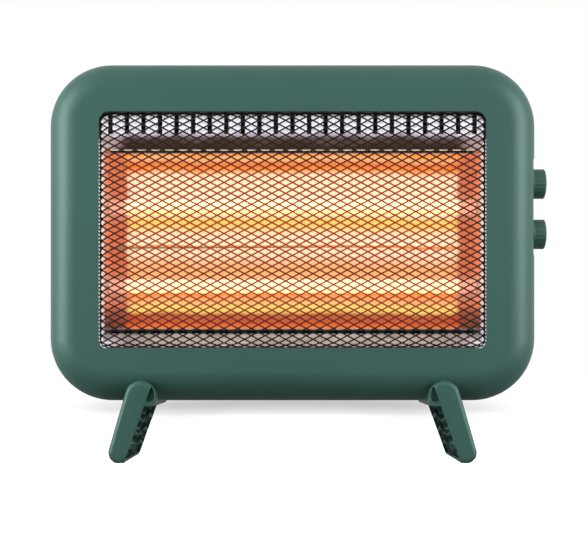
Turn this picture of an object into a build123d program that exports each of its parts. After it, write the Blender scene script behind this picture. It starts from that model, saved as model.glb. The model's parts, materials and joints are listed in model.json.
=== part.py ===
from build123d import *
import math
import os

os.makedirs("parts", exist_ok=True)

# Quartz heater with two tubes behind a wire guard, on two splayed feet.
# Millimetres. X runs to the right as seen from the front, +Y to the back, Z up from the floor.
# Names that end in _RISE are heights above the middle of the body, and names that end in
# _LINE are distances behind the front plane of the body.

# Body shell
BODY_WIDTH = 390
BODY_HEIGHT = 270
BODY_DEPTH = 108
FLOOR_GAP = 49
CORNER_RADIUS = 50
FRONT_ROLL = 24
BACK_ROLL = 16
WALL = 2.5
FRONT_SHELL_DEPTH = 58
PARTING_CHAMFER = 0.5

# Window in the front shell, with the wall that returns inwards round it
WINDOW_WIDTH = 307
WINDOW_HEIGHT = 187.5
WINDOW_RISE = 0.5
WINDOW_TOP_RADIUS = 8
WINDOW_BOTTOM_RADIUS = 5
RETURN_WALL = 2
RETURN_DEPTH = 8

# Guard: a flat wire net in a shallow rolled tray that drops into the window from behind
GUARD_CLEARANCE = 0.5
GUARD_SETBACK = 1
GUARD_ROLL = 4
GUARD_SHEET = 1
GUARD_FLANGE = 4
NET_COLUMNS = 11
NET_ROWS = 12
NET_STRAND = 1.6
NET_SHEET = 0.8
NET_BORDER = 1

# Polished sheet metal behind the guard
SHEET = 0.8
SHEET_CLEARANCE = 0.1
FLANGE_HEIGHT = 8.5
FLANGE_EDGE = 3.5
DEFLECTOR_END_LINE = 38
TOP_PANEL_DROP = 19
TOP_BEND_RADIUS = 3
TOP_DEFLECTOR_DROP = 24.5
BOTTOM_DEFLECTOR_LIFT = 12
HEM_DEPTH = 1.2
VENT_SLOTS = 23
VENT_SLOT_PITCH = 13.2
VENT_SLOT_WIDTH = 3.6
VENT_SLOT_LENGTH = 20
VENT_SLOT_CORNER = 1.2
VENT_SLOT_RISE = 86.5

# Reflector: two curved troughs that meet in a crease
REFLECTOR_FRONT_LINE = 40
REFLECTOR_TOP_RISE = 66.8
REFLECTOR_BOTTOM_RISE = -77.3
CREASE_LINE = 72
CREASE_RISE = -7.2
CROWN_LINE = 90
UPPER_CROWN_RISE = 28
LOWER_CROWN_RISE = -42.5

# End plates of the reflector
END_PLATE_TOP_RISE = 73
END_PLATE_BOTTOM_RISE = -84
END_PLATE_BACK_LINE = 93
END_PLATE_BACK_INSET = 12
END_FLANGE_WIDTH = 11
END_FLANGE_HEIGHT = 130

# Quartz tubes, coils and their ends
TUBE_LINE = 62
UPPER_TUBE_RISE = 24.9
LOWER_TUBE_RISE = -41
TUBE_DIAMETER = 12
TUBE_WALL = 1
COIL_RADIUS = 3.6
COIL_WIRE = 0.9
COIL_WIRE_SIDES = 3
COIL_TURNS = 12
COIL_LEAD = 8
CAP_SPIGOT_DIAMETER = 14.6
CAP_DIAMETER = 18
CAP_LENGTH = 17.7
CAP_NOSE = 1
CAP_FLOOR = 6
FIT_CLEARANCE = 0.2
PIN_DIAMETER = 2.5
PIN_DEPTH = 5
TAB_WIDTH = 6.3
TAB_THICKNESS = 0.8
TAB_LENGTH = 10
STRAP_WIDTH = 12
STRAP_SHEET = 1.2
STRAP_REACH = 23
STRAP_FOOT = 12
STRAP_HOLE = 9
RIVET_DIAMETER = 3
RIVET_HEAD_DIAMETER = 5.5
RIVET_HEAD = 1.4
RIVET_TAIL = 1

# Controls on the right side
CONTROL_LINE = 36
UPPER_KNOB_RISE = 41
LOWER_KNOB_RISE = 0
RECESS_DEPTH = 1.9
RECESS_HEIGHT = 81
RECESS_RAMP = 3
RECESS_END_GAP = 3
KNOB_DIAMETER = 24
KNOB_SKIRT_DIAMETER = 26.5
KNOB_SKIRT = 2.4
KNOB_PROJECTION = 11.5
KNOB_GAP = 0.4
KNOB_FIT = 0.02
KNOB_EDGE = 1
KNOB_FLUTES = 24
FLUTE_RADIUS = 1.4
FLUTE_BITE = 0.8
POINTER_WIDTH = 1.4
POINTER_LENGTH = 8
POINTER_DEPTH = 0.6
SHAFT_DIAMETER = 6
SHAFT_FLAT = 1
SHAFT_IN_KNOB = 9
SHAFT_IN_SWITCH = 12
RUNNING_CLEARANCE = 0.05
NOSE_DIAMETER = 10
NOSE_SETBACK = 0.3
SELECTOR_SIZE = (20, 24, 26)
THERMOSTAT_SIZE = (22, 20, 24)
SWITCH_ROUND = 2
CONTROL_TABS = 3
CONTROL_TAB_REACH = 7
CONTROL_TAB_PITCH = 8
CONTROL_PLATE = 1.2
CONTROL_PLATE_DEPTH = 30
CONTROL_PLATE_HEIGHT = 76
CONTROL_SCREW_SPREAD = 18
CONTROL_SCREW_LENGTH = 3

# Screws, with the posts that take them
SCREW_DIAMETER = 3
SCREW_SIDES = 8
SCREW_HEAD_DIAMETER = 6
SCREW_HEAD = 2.2
SCREW_CLEARANCE = 0.1
HOLE_SPARE = 0.5
POST_DIAMETER = 6
POST_ROOT = 0.5
SHEET_SCREW_LENGTH = 5
SHEET_SCREW_X = 100
END_SCREW_RISE = 56
COVER_POST_DIAMETER = 9
COVER_POST_X = 150
COVER_POST_RISE = 112
COVER_SCREW_LENGTH = 14
WELL_DIAMETER = 7
WELL_WALL = 1.5
WELL_FLOOR = 3

# Rear cover
LOUVRE_WIDTH = 48
LOUVRE_HEIGHT = 3.2
LOUVRE_PITCH_X = 56
LOUVRE_PITCH_Z = 9
LOUVRE_COLUMNS = 5
LOUVRE_ROWS = 6
LOUVRE_BANK_RISE = 42
LOUVRE_TILT = 30
PANEL_STEP = 0.8
PANEL_MARGIN = 8
PANEL_RADIUS = 6
GRIP_WIDTH = 120
GRIP_HEIGHT = 28
GRIP_DEPTH = 22
GRIP_RISE = 99
GRIP_CORNER = 8

# Cord inlet
GLAND_X = 120
GLAND_RISE = -100
GLAND_DIAMETER = 13
GLAND_FLANGE_DIAMETER = 18
GLAND_FLANGE = 3
GLAND_EDGE = 1
GLAND_INSIDE = 8
GLAND_NUT_ACROSS = 17
GLAND_NUT = 4
GLAND_BORE = 7.4
CLAMP_X = 96
CLAMP_SIZE = (10, 9, 22)
CLAMP_NOTCH = 7
CLAMP_SCREW_PITCH = 15
BLOCK_X = 56
BLOCK_SIZE = (38, 14, 16)
BLOCK_POLES = 3
BLOCK_PITCH = 12
BLOCK_BARRIER = 1.6
BLOCK_BARRIER_DEPTH = 5
INSERT_DIAMETER = 4.6
INSERT_DEPTH = 6
INSERT_SLOT = 1
INNER_SCREW_BITE = 1.6

# Tilt switch and thermal cut-out
TILT_X = -66
TILT_LINE = 76
TILT_CASE = (18, 30, 38)
TILT_WALL = 1.8
TILT_PIN_DIAMETER = 3
TILT_PIVOT_DROP = 8
TILT_SIDE_CLEARANCE = 0.4
TILT_HUB_DIAMETER = 8
BOB_DIAMETER = 11
BOB_THICKNESS = 8
BOB_DROP = 18
ARM_WIDTH = 4
CRADLE_WALL = 1.6
CRADLE_HEIGHT = 12
CUTOUT_DIAMETER = 18
CUTOUT_HEIGHT = 7
CUTOUT_CAP_DIAMETER = 14
CUTOUT_CAP = 2
CUTOUT_RISE = -8
CUTOUT_TAB = 6

# Feet
FOOT_PROUD = 5
FOOT_HEAD_X = 119.9
FOOT_HEAD_HEIGHT = 53
FOOT_HEAD_RADIUS = 12.4
FOOT_TOE_X = 136.5
FOOT_TOE_HEIGHT = 8.4
FOOT_TOE_RADIUS = 9.2
FOOT_EDGE = 4
FOOT_REAR_EDGE = 1.5
FOOT_WALL = 2.2
FOOT_FACE = 1.6
FOOT_WEB = 4
FOOT_SEAT_CLEARANCE = 0.2
MOUTH_X = 115.7
MOUTH_SLOPE = 0.358
RIM_WALL = 1.5
RIM_DEPTH = 3
FOOT_BAYS = 3
BAY_WALL = 1.5
FOOT_RIB = 1.2
FOOT_RIB_PITCH = 11.4
FOOT_RIB_DROP = 5.6
FOOT_RIBS = 3
FOOT_SCREW_X = 121.5
FOOT_SCREW_FRONT = 16
FOOT_SCREW_BACK = 24
FOOT_SCREW_LENGTH = 12
FOOT_BOSS_DIAMETER = 9
FOOT_BOSS_HEIGHT = 12
FOOT_BOSS_CAP = 2

# Places that follow from the sizes above. The knobs stand out on one side only, so the
# body sits half their projection left of the middle of the whole heater.
BODY_X = -KNOB_PROJECTION / 2
BODY_Z = FLOOR_GAP + BODY_HEIGHT / 2
FRONT_Y = -BODY_DEPTH / 2
BACK_Y = BODY_DEPTH / 2
PARTING_Y = FRONT_Y + FRONT_SHELL_DEPTH
SIDE_X = BODY_WIDTH / 2
FLOOR_RISE = WALL - BODY_HEIGHT / 2
INSIDE_Y = FRONT_Y + WALL
BACK_INSIDE_Y = BACK_Y - WALL
LIP_Y = FRONT_Y + RETURN_DEPTH
SEAT_Y = LIP_Y + GUARD_SHEET
WINDOW_TOP = WINDOW_RISE + WINDOW_HEIGHT / 2
WINDOW_BOTTOM = WINDOW_RISE - WINDOW_HEIGHT / 2
PLATE_X = WINDOW_WIDTH / 2
PLATE_OUT_X = PLATE_X + SHEET
TUBE_Y = FRONT_Y + TUBE_LINE
CAP_END_X = PLATE_OUT_X + CAP_LENGTH
TUBE_END_X = CAP_END_X - CAP_FLOOR
RECESS_X = SIDE_X - RECESS_DEPTH
PAD_X = RECESS_X - WALL
BRACKET_X = PAD_X - CONTROL_PLATE
RECESS_RISE = (UPPER_KNOB_RISE + LOWER_KNOB_RISE) / 2
CONTROL_Y = FRONT_Y + CONTROL_LINE
SCREW_HOLE = SCREW_DIAMETER + 2 * SCREW_CLEARANCE
WEB_HEIGHT = FLOOR_GAP - FOOT_WEB
FOOT_DEPTH = BODY_DEPTH + 2 * FOOT_PROUD
TILT_Y = FRONT_Y + TILT_LINE
PIVOT_RISE = FLOOR_RISE + TILT_CASE[2] - TILT_PIVOT_DROP
TUBE_RISES = {"upper": UPPER_TUBE_RISE, "lower": LOWER_TUBE_RISE}
KNOB_RISES = {"upper": UPPER_KNOB_RISE, "lower": LOWER_KNOB_RISE}
SIDES = {"left": -1, "right": 1}
FLANGE_POSTS = [
    (x, rise)
    for x in (-SHEET_SCREW_X, SHEET_SCREW_X)
    for rise in (WINDOW_TOP + FLANGE_HEIGHT, WINDOW_BOTTOM - FLANGE_HEIGHT)
]
END_POSTS = [
    (side * (PLATE_X + END_FLANGE_WIDTH - POST_DIAMETER / 2), rise)
    for side in SIDES.values()
    for rise in (-END_SCREW_RISE, END_SCREW_RISE)
]
SHEET_POSTS = FLANGE_POSTS + END_POSTS
COVER_POSTS = [
    (x, rise)
    for x in (-COVER_POST_X, COVER_POST_X)
    for rise in (-COVER_POST_RISE, COVER_POST_RISE)
]
CONTROL_SCREWS = [
    (CONTROL_Y - CONTROL_SCREW_SPREAD / 2, RECESS_RISE),
    (CONTROL_Y + CONTROL_SCREW_SPREAD / 2, RECESS_RISE),
]
STRAP_FEET = [
    (TUBE_Y, UPPER_TUBE_RISE + STRAP_REACH + STRAP_FOOT / 2),
    (TUBE_Y, LOWER_TUBE_RISE - STRAP_REACH - STRAP_FOOT / 2),
]
FOOT_SCREW_YS = {
    "front": PARTING_Y - FOOT_SCREW_FRONT,
    "back": PARTING_Y + FOOT_SCREW_BACK,
}
FOOT_SCREWS = [(side * FOOT_SCREW_X, y) for side in SIDES.values() for y in FOOT_SCREW_YS.values()]
CLAMP_SCREWS = [
    (CLAMP_X, GLAND_RISE - CLAMP_SCREW_PITCH / 2),
    (CLAMP_X, GLAND_RISE + CLAMP_SCREW_PITCH / 2),
]
BLOCK_SCREWS = [
    (BLOCK_X - BLOCK_PITCH / 2, GLAND_RISE),
    (BLOCK_X + BLOCK_PITCH / 2, GLAND_RISE),
]
INNER_SCREWS = CLAMP_SCREWS + BLOCK_SCREWS


def face_plane(y, zero=BODY_Z):
    """An upright plane at depth y, seen from the front, with heights counted from zero."""
    return Plane(origin=(BODY_X, y, zero), x_dir=(1, 0, 0), z_dir=(0, -1, 0))


def side_plane(x, zero=BODY_Z):
    """An upright plane at x from the body's middle, with depth and height as its axes."""
    return Plane(origin=(BODY_X + x, 0, zero), x_dir=(0, 1, 0), z_dir=(1, 0, 0))


def level_plane(height):
    """A level plane at a height above the floor."""
    return Plane(origin=(BODY_X, 0, height), x_dir=(1, 0, 0), z_dir=(0, 0, 1))


def window_outline(grow):
    """Draw the window's outline, larger all round by grow, in the sketch that is open."""
    with Locations((0, WINDOW_RISE)):
        Rectangle(WINDOW_WIDTH + 2 * grow, WINDOW_HEIGHT + 2 * grow)
    fillet(vertices().sort_by(Axis.Y)[:2], WINDOW_BOTTOM_RADIUS + grow)
    fillet(vertices().sort_by(Axis.Y)[-2:], WINDOW_TOP_RADIUS + grow)


def foot_outline(side, shrink):
    """Draw the tapered, round-ended section of a foot, smaller all round by shrink."""
    with Locations((side * FOOT_HEAD_X, FOOT_HEAD_HEIGHT)):
        Circle(FOOT_HEAD_RADIUS - shrink)
    with Locations((side * FOOT_TOE_X, FOOT_TOE_HEIGHT)):
        Circle(FOOT_TOE_RADIUS - shrink)
    make_hull()


def mouth_outline(side, low, high):
    """Draw the region on the inner side of a foot's open mouth, between two heights."""
    inner = FOOT_HEAD_X - 2 * FOOT_HEAD_RADIUS
    Polygon(
        (side * (MOUTH_X + MOUTH_SLOPE * (FLOOR_GAP - low)), low),
        (side * (MOUTH_X + MOUTH_SLOPE * (FLOOR_GAP - high)), high),
        (side * inner, high),
        (side * inner, low),
        align=None,
    )


def screw_sketch(places, diameter):
    """Draw the section of screws or rivets at some places, with few sides, in the open sketch."""
    with Locations(*places):
        RegularPolygon(diameter / 2, SCREW_SIDES)


def save(part, name):
    """Label a finished piece and write it as a STEP file."""
    part.label = name
    export_step(part, f"parts/{name}.step")


# Inside of the front shell, as a solid
with BuildPart() as front_hollow:
    with BuildSketch(face_plane(INSIDE_Y)):
        RectangleRounded(BODY_WIDTH - 2 * WALL, BODY_HEIGHT - 2 * WALL, CORNER_RADIUS - WALL)
    extrude(amount=-(FRONT_SHELL_DEPTH - WALL))
    fillet(front_hollow.faces().sort_by(Axis.Y)[0].edges(), FRONT_ROLL - WALL)

# Front shell: rolled front edge, window, control recess, and the posts for what it carries
PAD_REACH = math.sqrt(2 * (FRONT_ROLL - WALL) * RECESS_DEPTH - RECESS_DEPTH**2) + POST_ROOT
PAD_START_Y = FRONT_Y + FRONT_ROLL - PAD_REACH
with BuildPart() as front_frame:
    with BuildSketch(face_plane(FRONT_Y)):
        RectangleRounded(BODY_WIDTH, BODY_HEIGHT, CORNER_RADIUS)
    extrude(amount=-FRONT_SHELL_DEPTH)
    fillet(front_frame.faces().sort_by(Axis.Y)[0].edges(), FRONT_ROLL)
    chamfer(front_frame.faces().sort_by(Axis.Y)[-1].edges(), PARTING_CHAMFER)
    add(front_hollow.part, mode=Mode.SUBTRACT)
    # Thicker wall behind the control recess
    with BuildSketch(side_plane(PAD_X)):
        with Locations(((PAD_START_Y + PARTING_Y - PARTING_CHAMFER) / 2, RECESS_RISE)):
            Rectangle(PARTING_Y - PARTING_CHAMFER - PAD_START_Y, RECESS_HEIGHT + 2 * WALL)
    extrude(amount=RECESS_DEPTH + POST_ROOT / 2)
    # Return wall and posts behind the front wall
    with BuildSketch(face_plane(LIP_Y)):
        window_outline(RETURN_WALL)
    extrude(amount=RETURN_DEPTH - WALL)
    with BuildSketch(face_plane(SEAT_Y)):
        with Locations(*SHEET_POSTS):
            Circle(POST_DIAMETER / 2)
    extrude(amount=SEAT_Y - INSIDE_Y + POST_ROOT)
    with BuildSketch(face_plane(PARTING_Y)):
        with Locations(*COVER_POSTS):
            Circle(COVER_POST_DIAMETER / 2)
    extrude(amount=FRONT_SHELL_DEPTH - WALL + POST_ROOT)
    with BuildSketch(level_plane(FLOOR_GAP + WALL - POST_ROOT)):
        with Locations(*[(side * FOOT_SCREW_X, FOOT_SCREW_YS["front"]) for side in (-1, 1)]):
            Circle(FOOT_BOSS_DIAMETER / 2)
    extrude(amount=FOOT_BOSS_HEIGHT + POST_ROOT)
    # Window
    with BuildSketch(face_plane(FRONT_Y)):
        window_outline(0)
    extrude(amount=-RETURN_DEPTH, mode=Mode.SUBTRACT)
    # Control recess, ramped at its two ends
    with BuildSketch(face_plane(PARTING_Y - RECESS_END_GAP)):
        with BuildLine():
            Polyline(
                (SIDE_X, RECESS_RISE + RECESS_HEIGHT / 2),
                (RECESS_X, RECESS_RISE + RECESS_HEIGHT / 2 - RECESS_RAMP),
                (RECESS_X, RECESS_RISE - RECESS_HEIGHT / 2 + RECESS_RAMP),
                (SIDE_X, RECESS_RISE - RECESS_HEIGHT / 2),
                (SIDE_X + RECESS_DEPTH, RECESS_RISE - RECESS_HEIGHT / 2),
                (SIDE_X + RECESS_DEPTH, RECESS_RISE + RECESS_HEIGHT / 2),
                close=True,
            )
        make_face()
    extrude(amount=FRONT_SHELL_DEPTH, mode=Mode.SUBTRACT)
    # Holes for the control noses and for the screws
    with BuildSketch(side_plane(PAD_X)):
        with Locations(*[(CONTROL_Y, rise) for rise in KNOB_RISES.values()]):
            Circle(NOSE_DIAMETER / 2 + FIT_CLEARANCE)
    extrude(amount=WALL + RECESS_DEPTH, mode=Mode.SUBTRACT)
    with BuildSketch(side_plane(PAD_X)):
        with Locations(*CONTROL_SCREWS):
            Circle(SCREW_HOLE / 2)
    extrude(amount=CONTROL_SCREW_LENGTH - CONTROL_PLATE + SCREW_CLEARANCE, mode=Mode.SUBTRACT)
    with BuildSketch(face_plane(SEAT_Y)):
        with Locations(*SHEET_POSTS):
            Circle(SCREW_HOLE / 2)
    extrude(amount=SHEET_SCREW_LENGTH - SHEET + HOLE_SPARE, mode=Mode.SUBTRACT)
    with BuildSketch(face_plane(PARTING_Y)):
        with Locations(*COVER_POSTS):
            Circle(SCREW_HOLE / 2)
    extrude(amount=COVER_SCREW_LENGTH - WELL_FLOOR + HOLE_SPARE, mode=Mode.SUBTRACT)
    with BuildSketch(level_plane(FLOOR_GAP)):
        with Locations(*[(side * FOOT_SCREW_X, FOOT_SCREW_YS["front"]) for side in (-1, 1)]):
            Circle(SCREW_HOLE / 2)
    extrude(amount=WALL + FOOT_BOSS_HEIGHT - FOOT_BOSS_CAP, mode=Mode.SUBTRACT)
save(front_frame.part, "front_frame")

# Inside of the rear cover, as a solid
COVER_DEPTH = BODY_DEPTH - FRONT_SHELL_DEPTH
with BuildPart() as cover_hollow:
    with BuildSketch(face_plane(PARTING_Y)):
        RectangleRounded(BODY_WIDTH - 2 * WALL, BODY_HEIGHT - 2 * WALL, CORNER_RADIUS - WALL)
    extrude(amount=-(COVER_DEPTH - WALL))
    fillet(cover_hollow.faces().sort_by(Axis.Y)[-1].edges(), BACK_ROLL - WALL)

# Rear cover: louvred back, hand grip, screw wells, cradle for the tilt switch, cord hole
PANEL_WIDTH = (LOUVRE_COLUMNS - 1) * LOUVRE_PITCH_X + LOUVRE_WIDTH + 2 * PANEL_MARGIN
BANK_HEIGHT = (LOUVRE_ROWS - 1) * LOUVRE_PITCH_Z + LOUVRE_HEIGHT
PANEL_HEIGHT = 2 * LOUVRE_BANK_RISE + BANK_HEIGHT + 2 * PANEL_MARGIN
LOUVRE_RUN = (WALL + 2 * PANEL_STEP) / math.cos(math.radians(LOUVRE_TILT))
with BuildPart() as rear_cover:
    with BuildSketch(face_plane(PARTING_Y)):
        RectangleRounded(BODY_WIDTH, BODY_HEIGHT, CORNER_RADIUS)
    extrude(amount=-COVER_DEPTH)
    fillet(rear_cover.faces().sort_by(Axis.Y)[-1].edges(), BACK_ROLL)
    chamfer(rear_cover.faces().sort_by(Axis.Y)[0].edges(), PARTING_CHAMFER)
    add(cover_hollow.part, mode=Mode.SUBTRACT)
    # Walls of the hand grip, and the wells and bosses for the screws
    with BuildSketch(face_plane(BACK_Y - GRIP_DEPTH - WALL)):
        with Locations((0, GRIP_RISE)):
            RectangleRounded(GRIP_WIDTH + 2 * WALL, GRIP_HEIGHT + 2 * WALL, GRIP_CORNER + WALL)
    extrude(amount=-(GRIP_DEPTH + POST_ROOT))
    with BuildSketch(face_plane(PARTING_Y)):
        with Locations(*COVER_POSTS):
            Circle(WELL_DIAMETER / 2 + WELL_WALL)
    extrude(amount=-(COVER_DEPTH - WALL + POST_ROOT))
    with BuildSketch(level_plane(FLOOR_GAP + WALL - POST_ROOT)):
        with Locations(*[(side * FOOT_SCREW_X, FOOT_SCREW_YS["back"]) for side in (-1, 1)]):
            Circle(FOOT_BOSS_DIAMETER / 2)
    extrude(amount=FOOT_BOSS_HEIGHT + POST_ROOT)
    with BuildSketch(level_plane(FLOOR_GAP + WALL - POST_ROOT)):
        with Locations((TILT_X, TILT_Y)):
            with GridLocations(TILT_CASE[0] + CRADLE_WALL + 2 * SHEET_CLEARANCE, 0, 2, 1):
                Rectangle(CRADLE_WALL, TILT_CASE[1] / 2)
    extrude(amount=CRADLE_HEIGHT + POST_ROOT)
    # Hand grip
    with BuildSketch(face_plane(BACK_Y)):
        with Locations((0, GRIP_RISE)):
            RectangleRounded(GRIP_WIDTH, GRIP_HEIGHT, GRIP_CORNER)
    extrude(amount=GRIP_DEPTH, mode=Mode.SUBTRACT)
    # Sunk panel with two banks of louvres
    with BuildSketch(face_plane(BACK_Y)):
        RectangleRounded(PANEL_WIDTH, PANEL_HEIGHT, PANEL_RADIUS)
    extrude(amount=PANEL_STEP, mode=Mode.SUBTRACT)
    with BuildSketch(face_plane(BACK_Y)):
        for bank in (-LOUVRE_BANK_RISE, LOUVRE_BANK_RISE):
            with Locations((0, bank)):
                with GridLocations(LOUVRE_PITCH_X, LOUVRE_PITCH_Z, LOUVRE_COLUMNS, LOUVRE_ROWS):
                    Rectangle(LOUVRE_WIDTH, LOUVRE_HEIGHT)
    louvre_dir = (0, -math.cos(math.radians(LOUVRE_TILT)), -math.sin(math.radians(LOUVRE_TILT)))
    extrude(amount=LOUVRE_RUN, dir=louvre_dir, mode=Mode.SUBTRACT)
    # Screw wells, foot screw holes and the cord hole
    with BuildSketch(face_plane(BACK_Y)):
        with Locations(*COVER_POSTS):
            Circle(WELL_DIAMETER / 2)
    extrude(amount=COVER_DEPTH - WELL_FLOOR, mode=Mode.SUBTRACT)
    with BuildSketch(face_plane(PARTING_Y)):
        with Locations(*COVER_POSTS):
            Circle(SCREW_HOLE / 2)
    extrude(amount=-WELL_FLOOR, mode=Mode.SUBTRACT)
    with BuildSketch(level_plane(FLOOR_GAP)):
        with Locations(*[(side * FOOT_SCREW_X, FOOT_SCREW_YS["back"]) for side in (-1, 1)]):
            Circle(SCREW_HOLE / 2)
    extrude(amount=WALL + FOOT_BOSS_HEIGHT - FOOT_BOSS_CAP, mode=Mode.SUBTRACT)
    with BuildSketch(face_plane(BACK_Y)):
        with Locations((GLAND_X, GLAND_RISE)):
            Circle(GLAND_DIAMETER / 2 + FIT_CLEARANCE)
    extrude(amount=WALL, mode=Mode.SUBTRACT)
    with BuildSketch(face_plane(BACK_INSIDE_Y)):
        with Locations(*INNER_SCREWS):
            Circle(SCREW_HOLE / 2)
    extrude(amount=-INNER_SCREW_BITE - SCREW_CLEARANCE, mode=Mode.SUBTRACT)
save(rear_cover.part, "rear_cover")

# Inside of the guard tray, as a solid
GUARD_Y = FRONT_Y + GUARD_SETBACK
with BuildPart() as guard_hollow:
    with BuildSketch(face_plane(GUARD_Y + GUARD_SHEET)):
        window_outline(-GUARD_CLEARANCE - GUARD_SHEET)
    extrude(amount=-(SEAT_Y - GUARD_Y - GUARD_SHEET))
    fillet(guard_hollow.faces().sort_by(Axis.Y)[0].edges(), GUARD_ROLL - GUARD_SHEET)

# Tray of the guard: rolled edge, fixing flange, and an opening that the net closes
NET_WIDTH = WINDOW_WIDTH - 2 * (GUARD_CLEARANCE + GUARD_ROLL + NET_BORDER)
NET_HEIGHT = WINDOW_HEIGHT - 2 * (GUARD_CLEARANCE + GUARD_ROLL + NET_BORDER)
NET_CORNER = WINDOW_TOP_RADIUS - GUARD_CLEARANCE - GUARD_ROLL
with BuildPart() as guard_rim:
    with BuildSketch(face_plane(GUARD_Y)):
        window_outline(-GUARD_CLEARANCE)
    extrude(amount=-(SEAT_Y - GUARD_Y))
    fillet(guard_rim.faces().sort_by(Axis.Y)[0].edges(), GUARD_ROLL)
    with BuildSketch(face_plane(LIP_Y)):
        window_outline(GUARD_FLANGE)
    extrude(amount=-GUARD_SHEET)
    add(guard_hollow.part, mode=Mode.SUBTRACT)
    with BuildSketch(face_plane(GUARD_Y)):
        with Locations((0, WINDOW_RISE)):
            Rectangle(NET_WIDTH, NET_HEIGHT)
    extrude(amount=-GUARD_SHEET, mode=Mode.SUBTRACT)
save(guard_rim.part, "guard_rim")

# Net of the guard: a flat sheet with two interleaved grids of diamond gaps
NET_PITCH_X = NET_WIDTH / NET_COLUMNS
NET_PITCH_Z = NET_HEIGHT / NET_ROWS
GAP_SHARE = 1 - NET_STRAND * math.hypot(NET_PITCH_X, NET_PITCH_Z) / (NET_PITCH_X * NET_PITCH_Z)
GAP_X = NET_PITCH_X / 2 * GAP_SHARE
GAP_Z = NET_PITCH_Z / 2 * GAP_SHARE
with BuildPart() as guard_mesh:
    with BuildSketch(face_plane(GUARD_Y + GUARD_SHEET)):
        with Locations((0, WINDOW_RISE)):
            RectangleRounded(NET_WIDTH + 2 * NET_BORDER, NET_HEIGHT + 2 * NET_BORDER, NET_CORNER)
    extrude(amount=-NET_SHEET)
    with BuildSketch(face_plane(GUARD_Y + GUARD_SHEET)):
        with Locations((0, WINDOW_RISE)):
            with GridLocations(NET_PITCH_X, NET_PITCH_Z, NET_COLUMNS, NET_ROWS):
                Polygon((GAP_X, 0), (0, GAP_Z), (-GAP_X, 0), (0, -GAP_Z))
            with GridLocations(NET_PITCH_X, NET_PITCH_Z, NET_COLUMNS - 1, NET_ROWS - 1):
                Polygon((GAP_X, 0), (0, GAP_Z), (-GAP_X, 0), (0, -GAP_Z))
    extrude(amount=-NET_SHEET, mode=Mode.SUBTRACT)
save(guard_mesh.part, "guard_mesh")
print("net gaps", NET_COLUMNS * NET_ROWS + (NET_COLUMNS - 1) * (NET_ROWS - 1))

# Top deflector: upright panel with vent slots, a bend, an underside that falls to the back
# and a hem at its back edge
SHEET_MID_Y = SEAT_Y + SHEET / 2
SHEET_HALF_WIDTH = PLATE_X - SHEET_CLEARANCE
DEFLECTOR_END_Y = FRONT_Y + DEFLECTOR_END_LINE
TOP_END_RISE = WINDOW_TOP - TOP_DEFLECTOR_DROP
with BuildPart() as top_deflector:
    with BuildSketch(side_plane(-SHEET_HALF_WIDTH)):
        with BuildLine():
            FilletPolyline(
                (SHEET_MID_Y, WINDOW_TOP + FLANGE_HEIGHT + FLANGE_EDGE),
                (SHEET_MID_Y, WINDOW_TOP - TOP_PANEL_DROP),
                (DEFLECTOR_END_Y - SHEET, TOP_END_RISE),
                radius=TOP_BEND_RADIUS,
            )
            Polyline(
                (DEFLECTOR_END_Y - SHEET, TOP_END_RISE),
                (DEFLECTOR_END_Y, TOP_END_RISE),
                (DEFLECTOR_END_Y, TOP_END_RISE - HEM_DEPTH),
            )
        trace(line_width=SHEET)
    extrude(amount=2 * SHEET_HALF_WIDTH)
    with BuildSketch(face_plane(SEAT_Y)):
        with Locations((0, VENT_SLOT_RISE)):
            with GridLocations(VENT_SLOT_PITCH, 0, VENT_SLOTS, 1):
                Rectangle(VENT_SLOT_WIDTH, VENT_SLOT_LENGTH)
        chamfer(vertices(), VENT_SLOT_CORNER)
    extrude(amount=-SHEET, mode=Mode.SUBTRACT)
    with BuildSketch(face_plane(SEAT_Y)):
        with Locations(*FLANGE_POSTS):
            Circle(SCREW_HOLE / 2)
    extrude(amount=-SHEET, mode=Mode.SUBTRACT)
save(top_deflector.part, "top_deflector")

# Bottom deflector: flange and a rising ledge
with BuildPart() as bottom_deflector:
    with BuildSketch(side_plane(-SHEET_HALF_WIDTH)):
        with BuildLine():
            Polyline(
                (SHEET_MID_Y, WINDOW_BOTTOM - FLANGE_HEIGHT - FLANGE_EDGE),
                (SHEET_MID_Y, WINDOW_BOTTOM + SHEET / 2),
                (DEFLECTOR_END_Y, WINDOW_BOTTOM + BOTTOM_DEFLECTOR_LIFT),
            )
        trace(line_width=SHEET)
    extrude(amount=2 * SHEET_HALF_WIDTH)
    with BuildSketch(face_plane(SEAT_Y)):
        with Locations(*FLANGE_POSTS):
            Circle(SCREW_HOLE / 2)
    extrude(amount=-SHEET, mode=Mode.SUBTRACT)
save(bottom_deflector.part, "bottom_deflector")

# Reflector: one sheet rolled into an upper and a lower trough
REFLECTOR_Y = FRONT_Y + REFLECTOR_FRONT_LINE
CREASE = (FRONT_Y + CREASE_LINE, CREASE_RISE)
with BuildPart() as reflector:
    with BuildSketch(side_plane(-SHEET_HALF_WIDTH)):
        with BuildLine():
            ThreePointArc(
                (REFLECTOR_Y, REFLECTOR_TOP_RISE),
                (FRONT_Y + CROWN_LINE, UPPER_CROWN_RISE),
                CREASE,
            )
            ThreePointArc(
                CREASE,
                (FRONT_Y + CROWN_LINE, LOWER_CROWN_RISE),
                (REFLECTOR_Y, REFLECTOR_BOTTOM_RISE),
            )
        trace(line_width=SHEET)
    extrude(amount=2 * SHEET_HALF_WIDTH)
save(reflector.part, "reflector")

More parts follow.
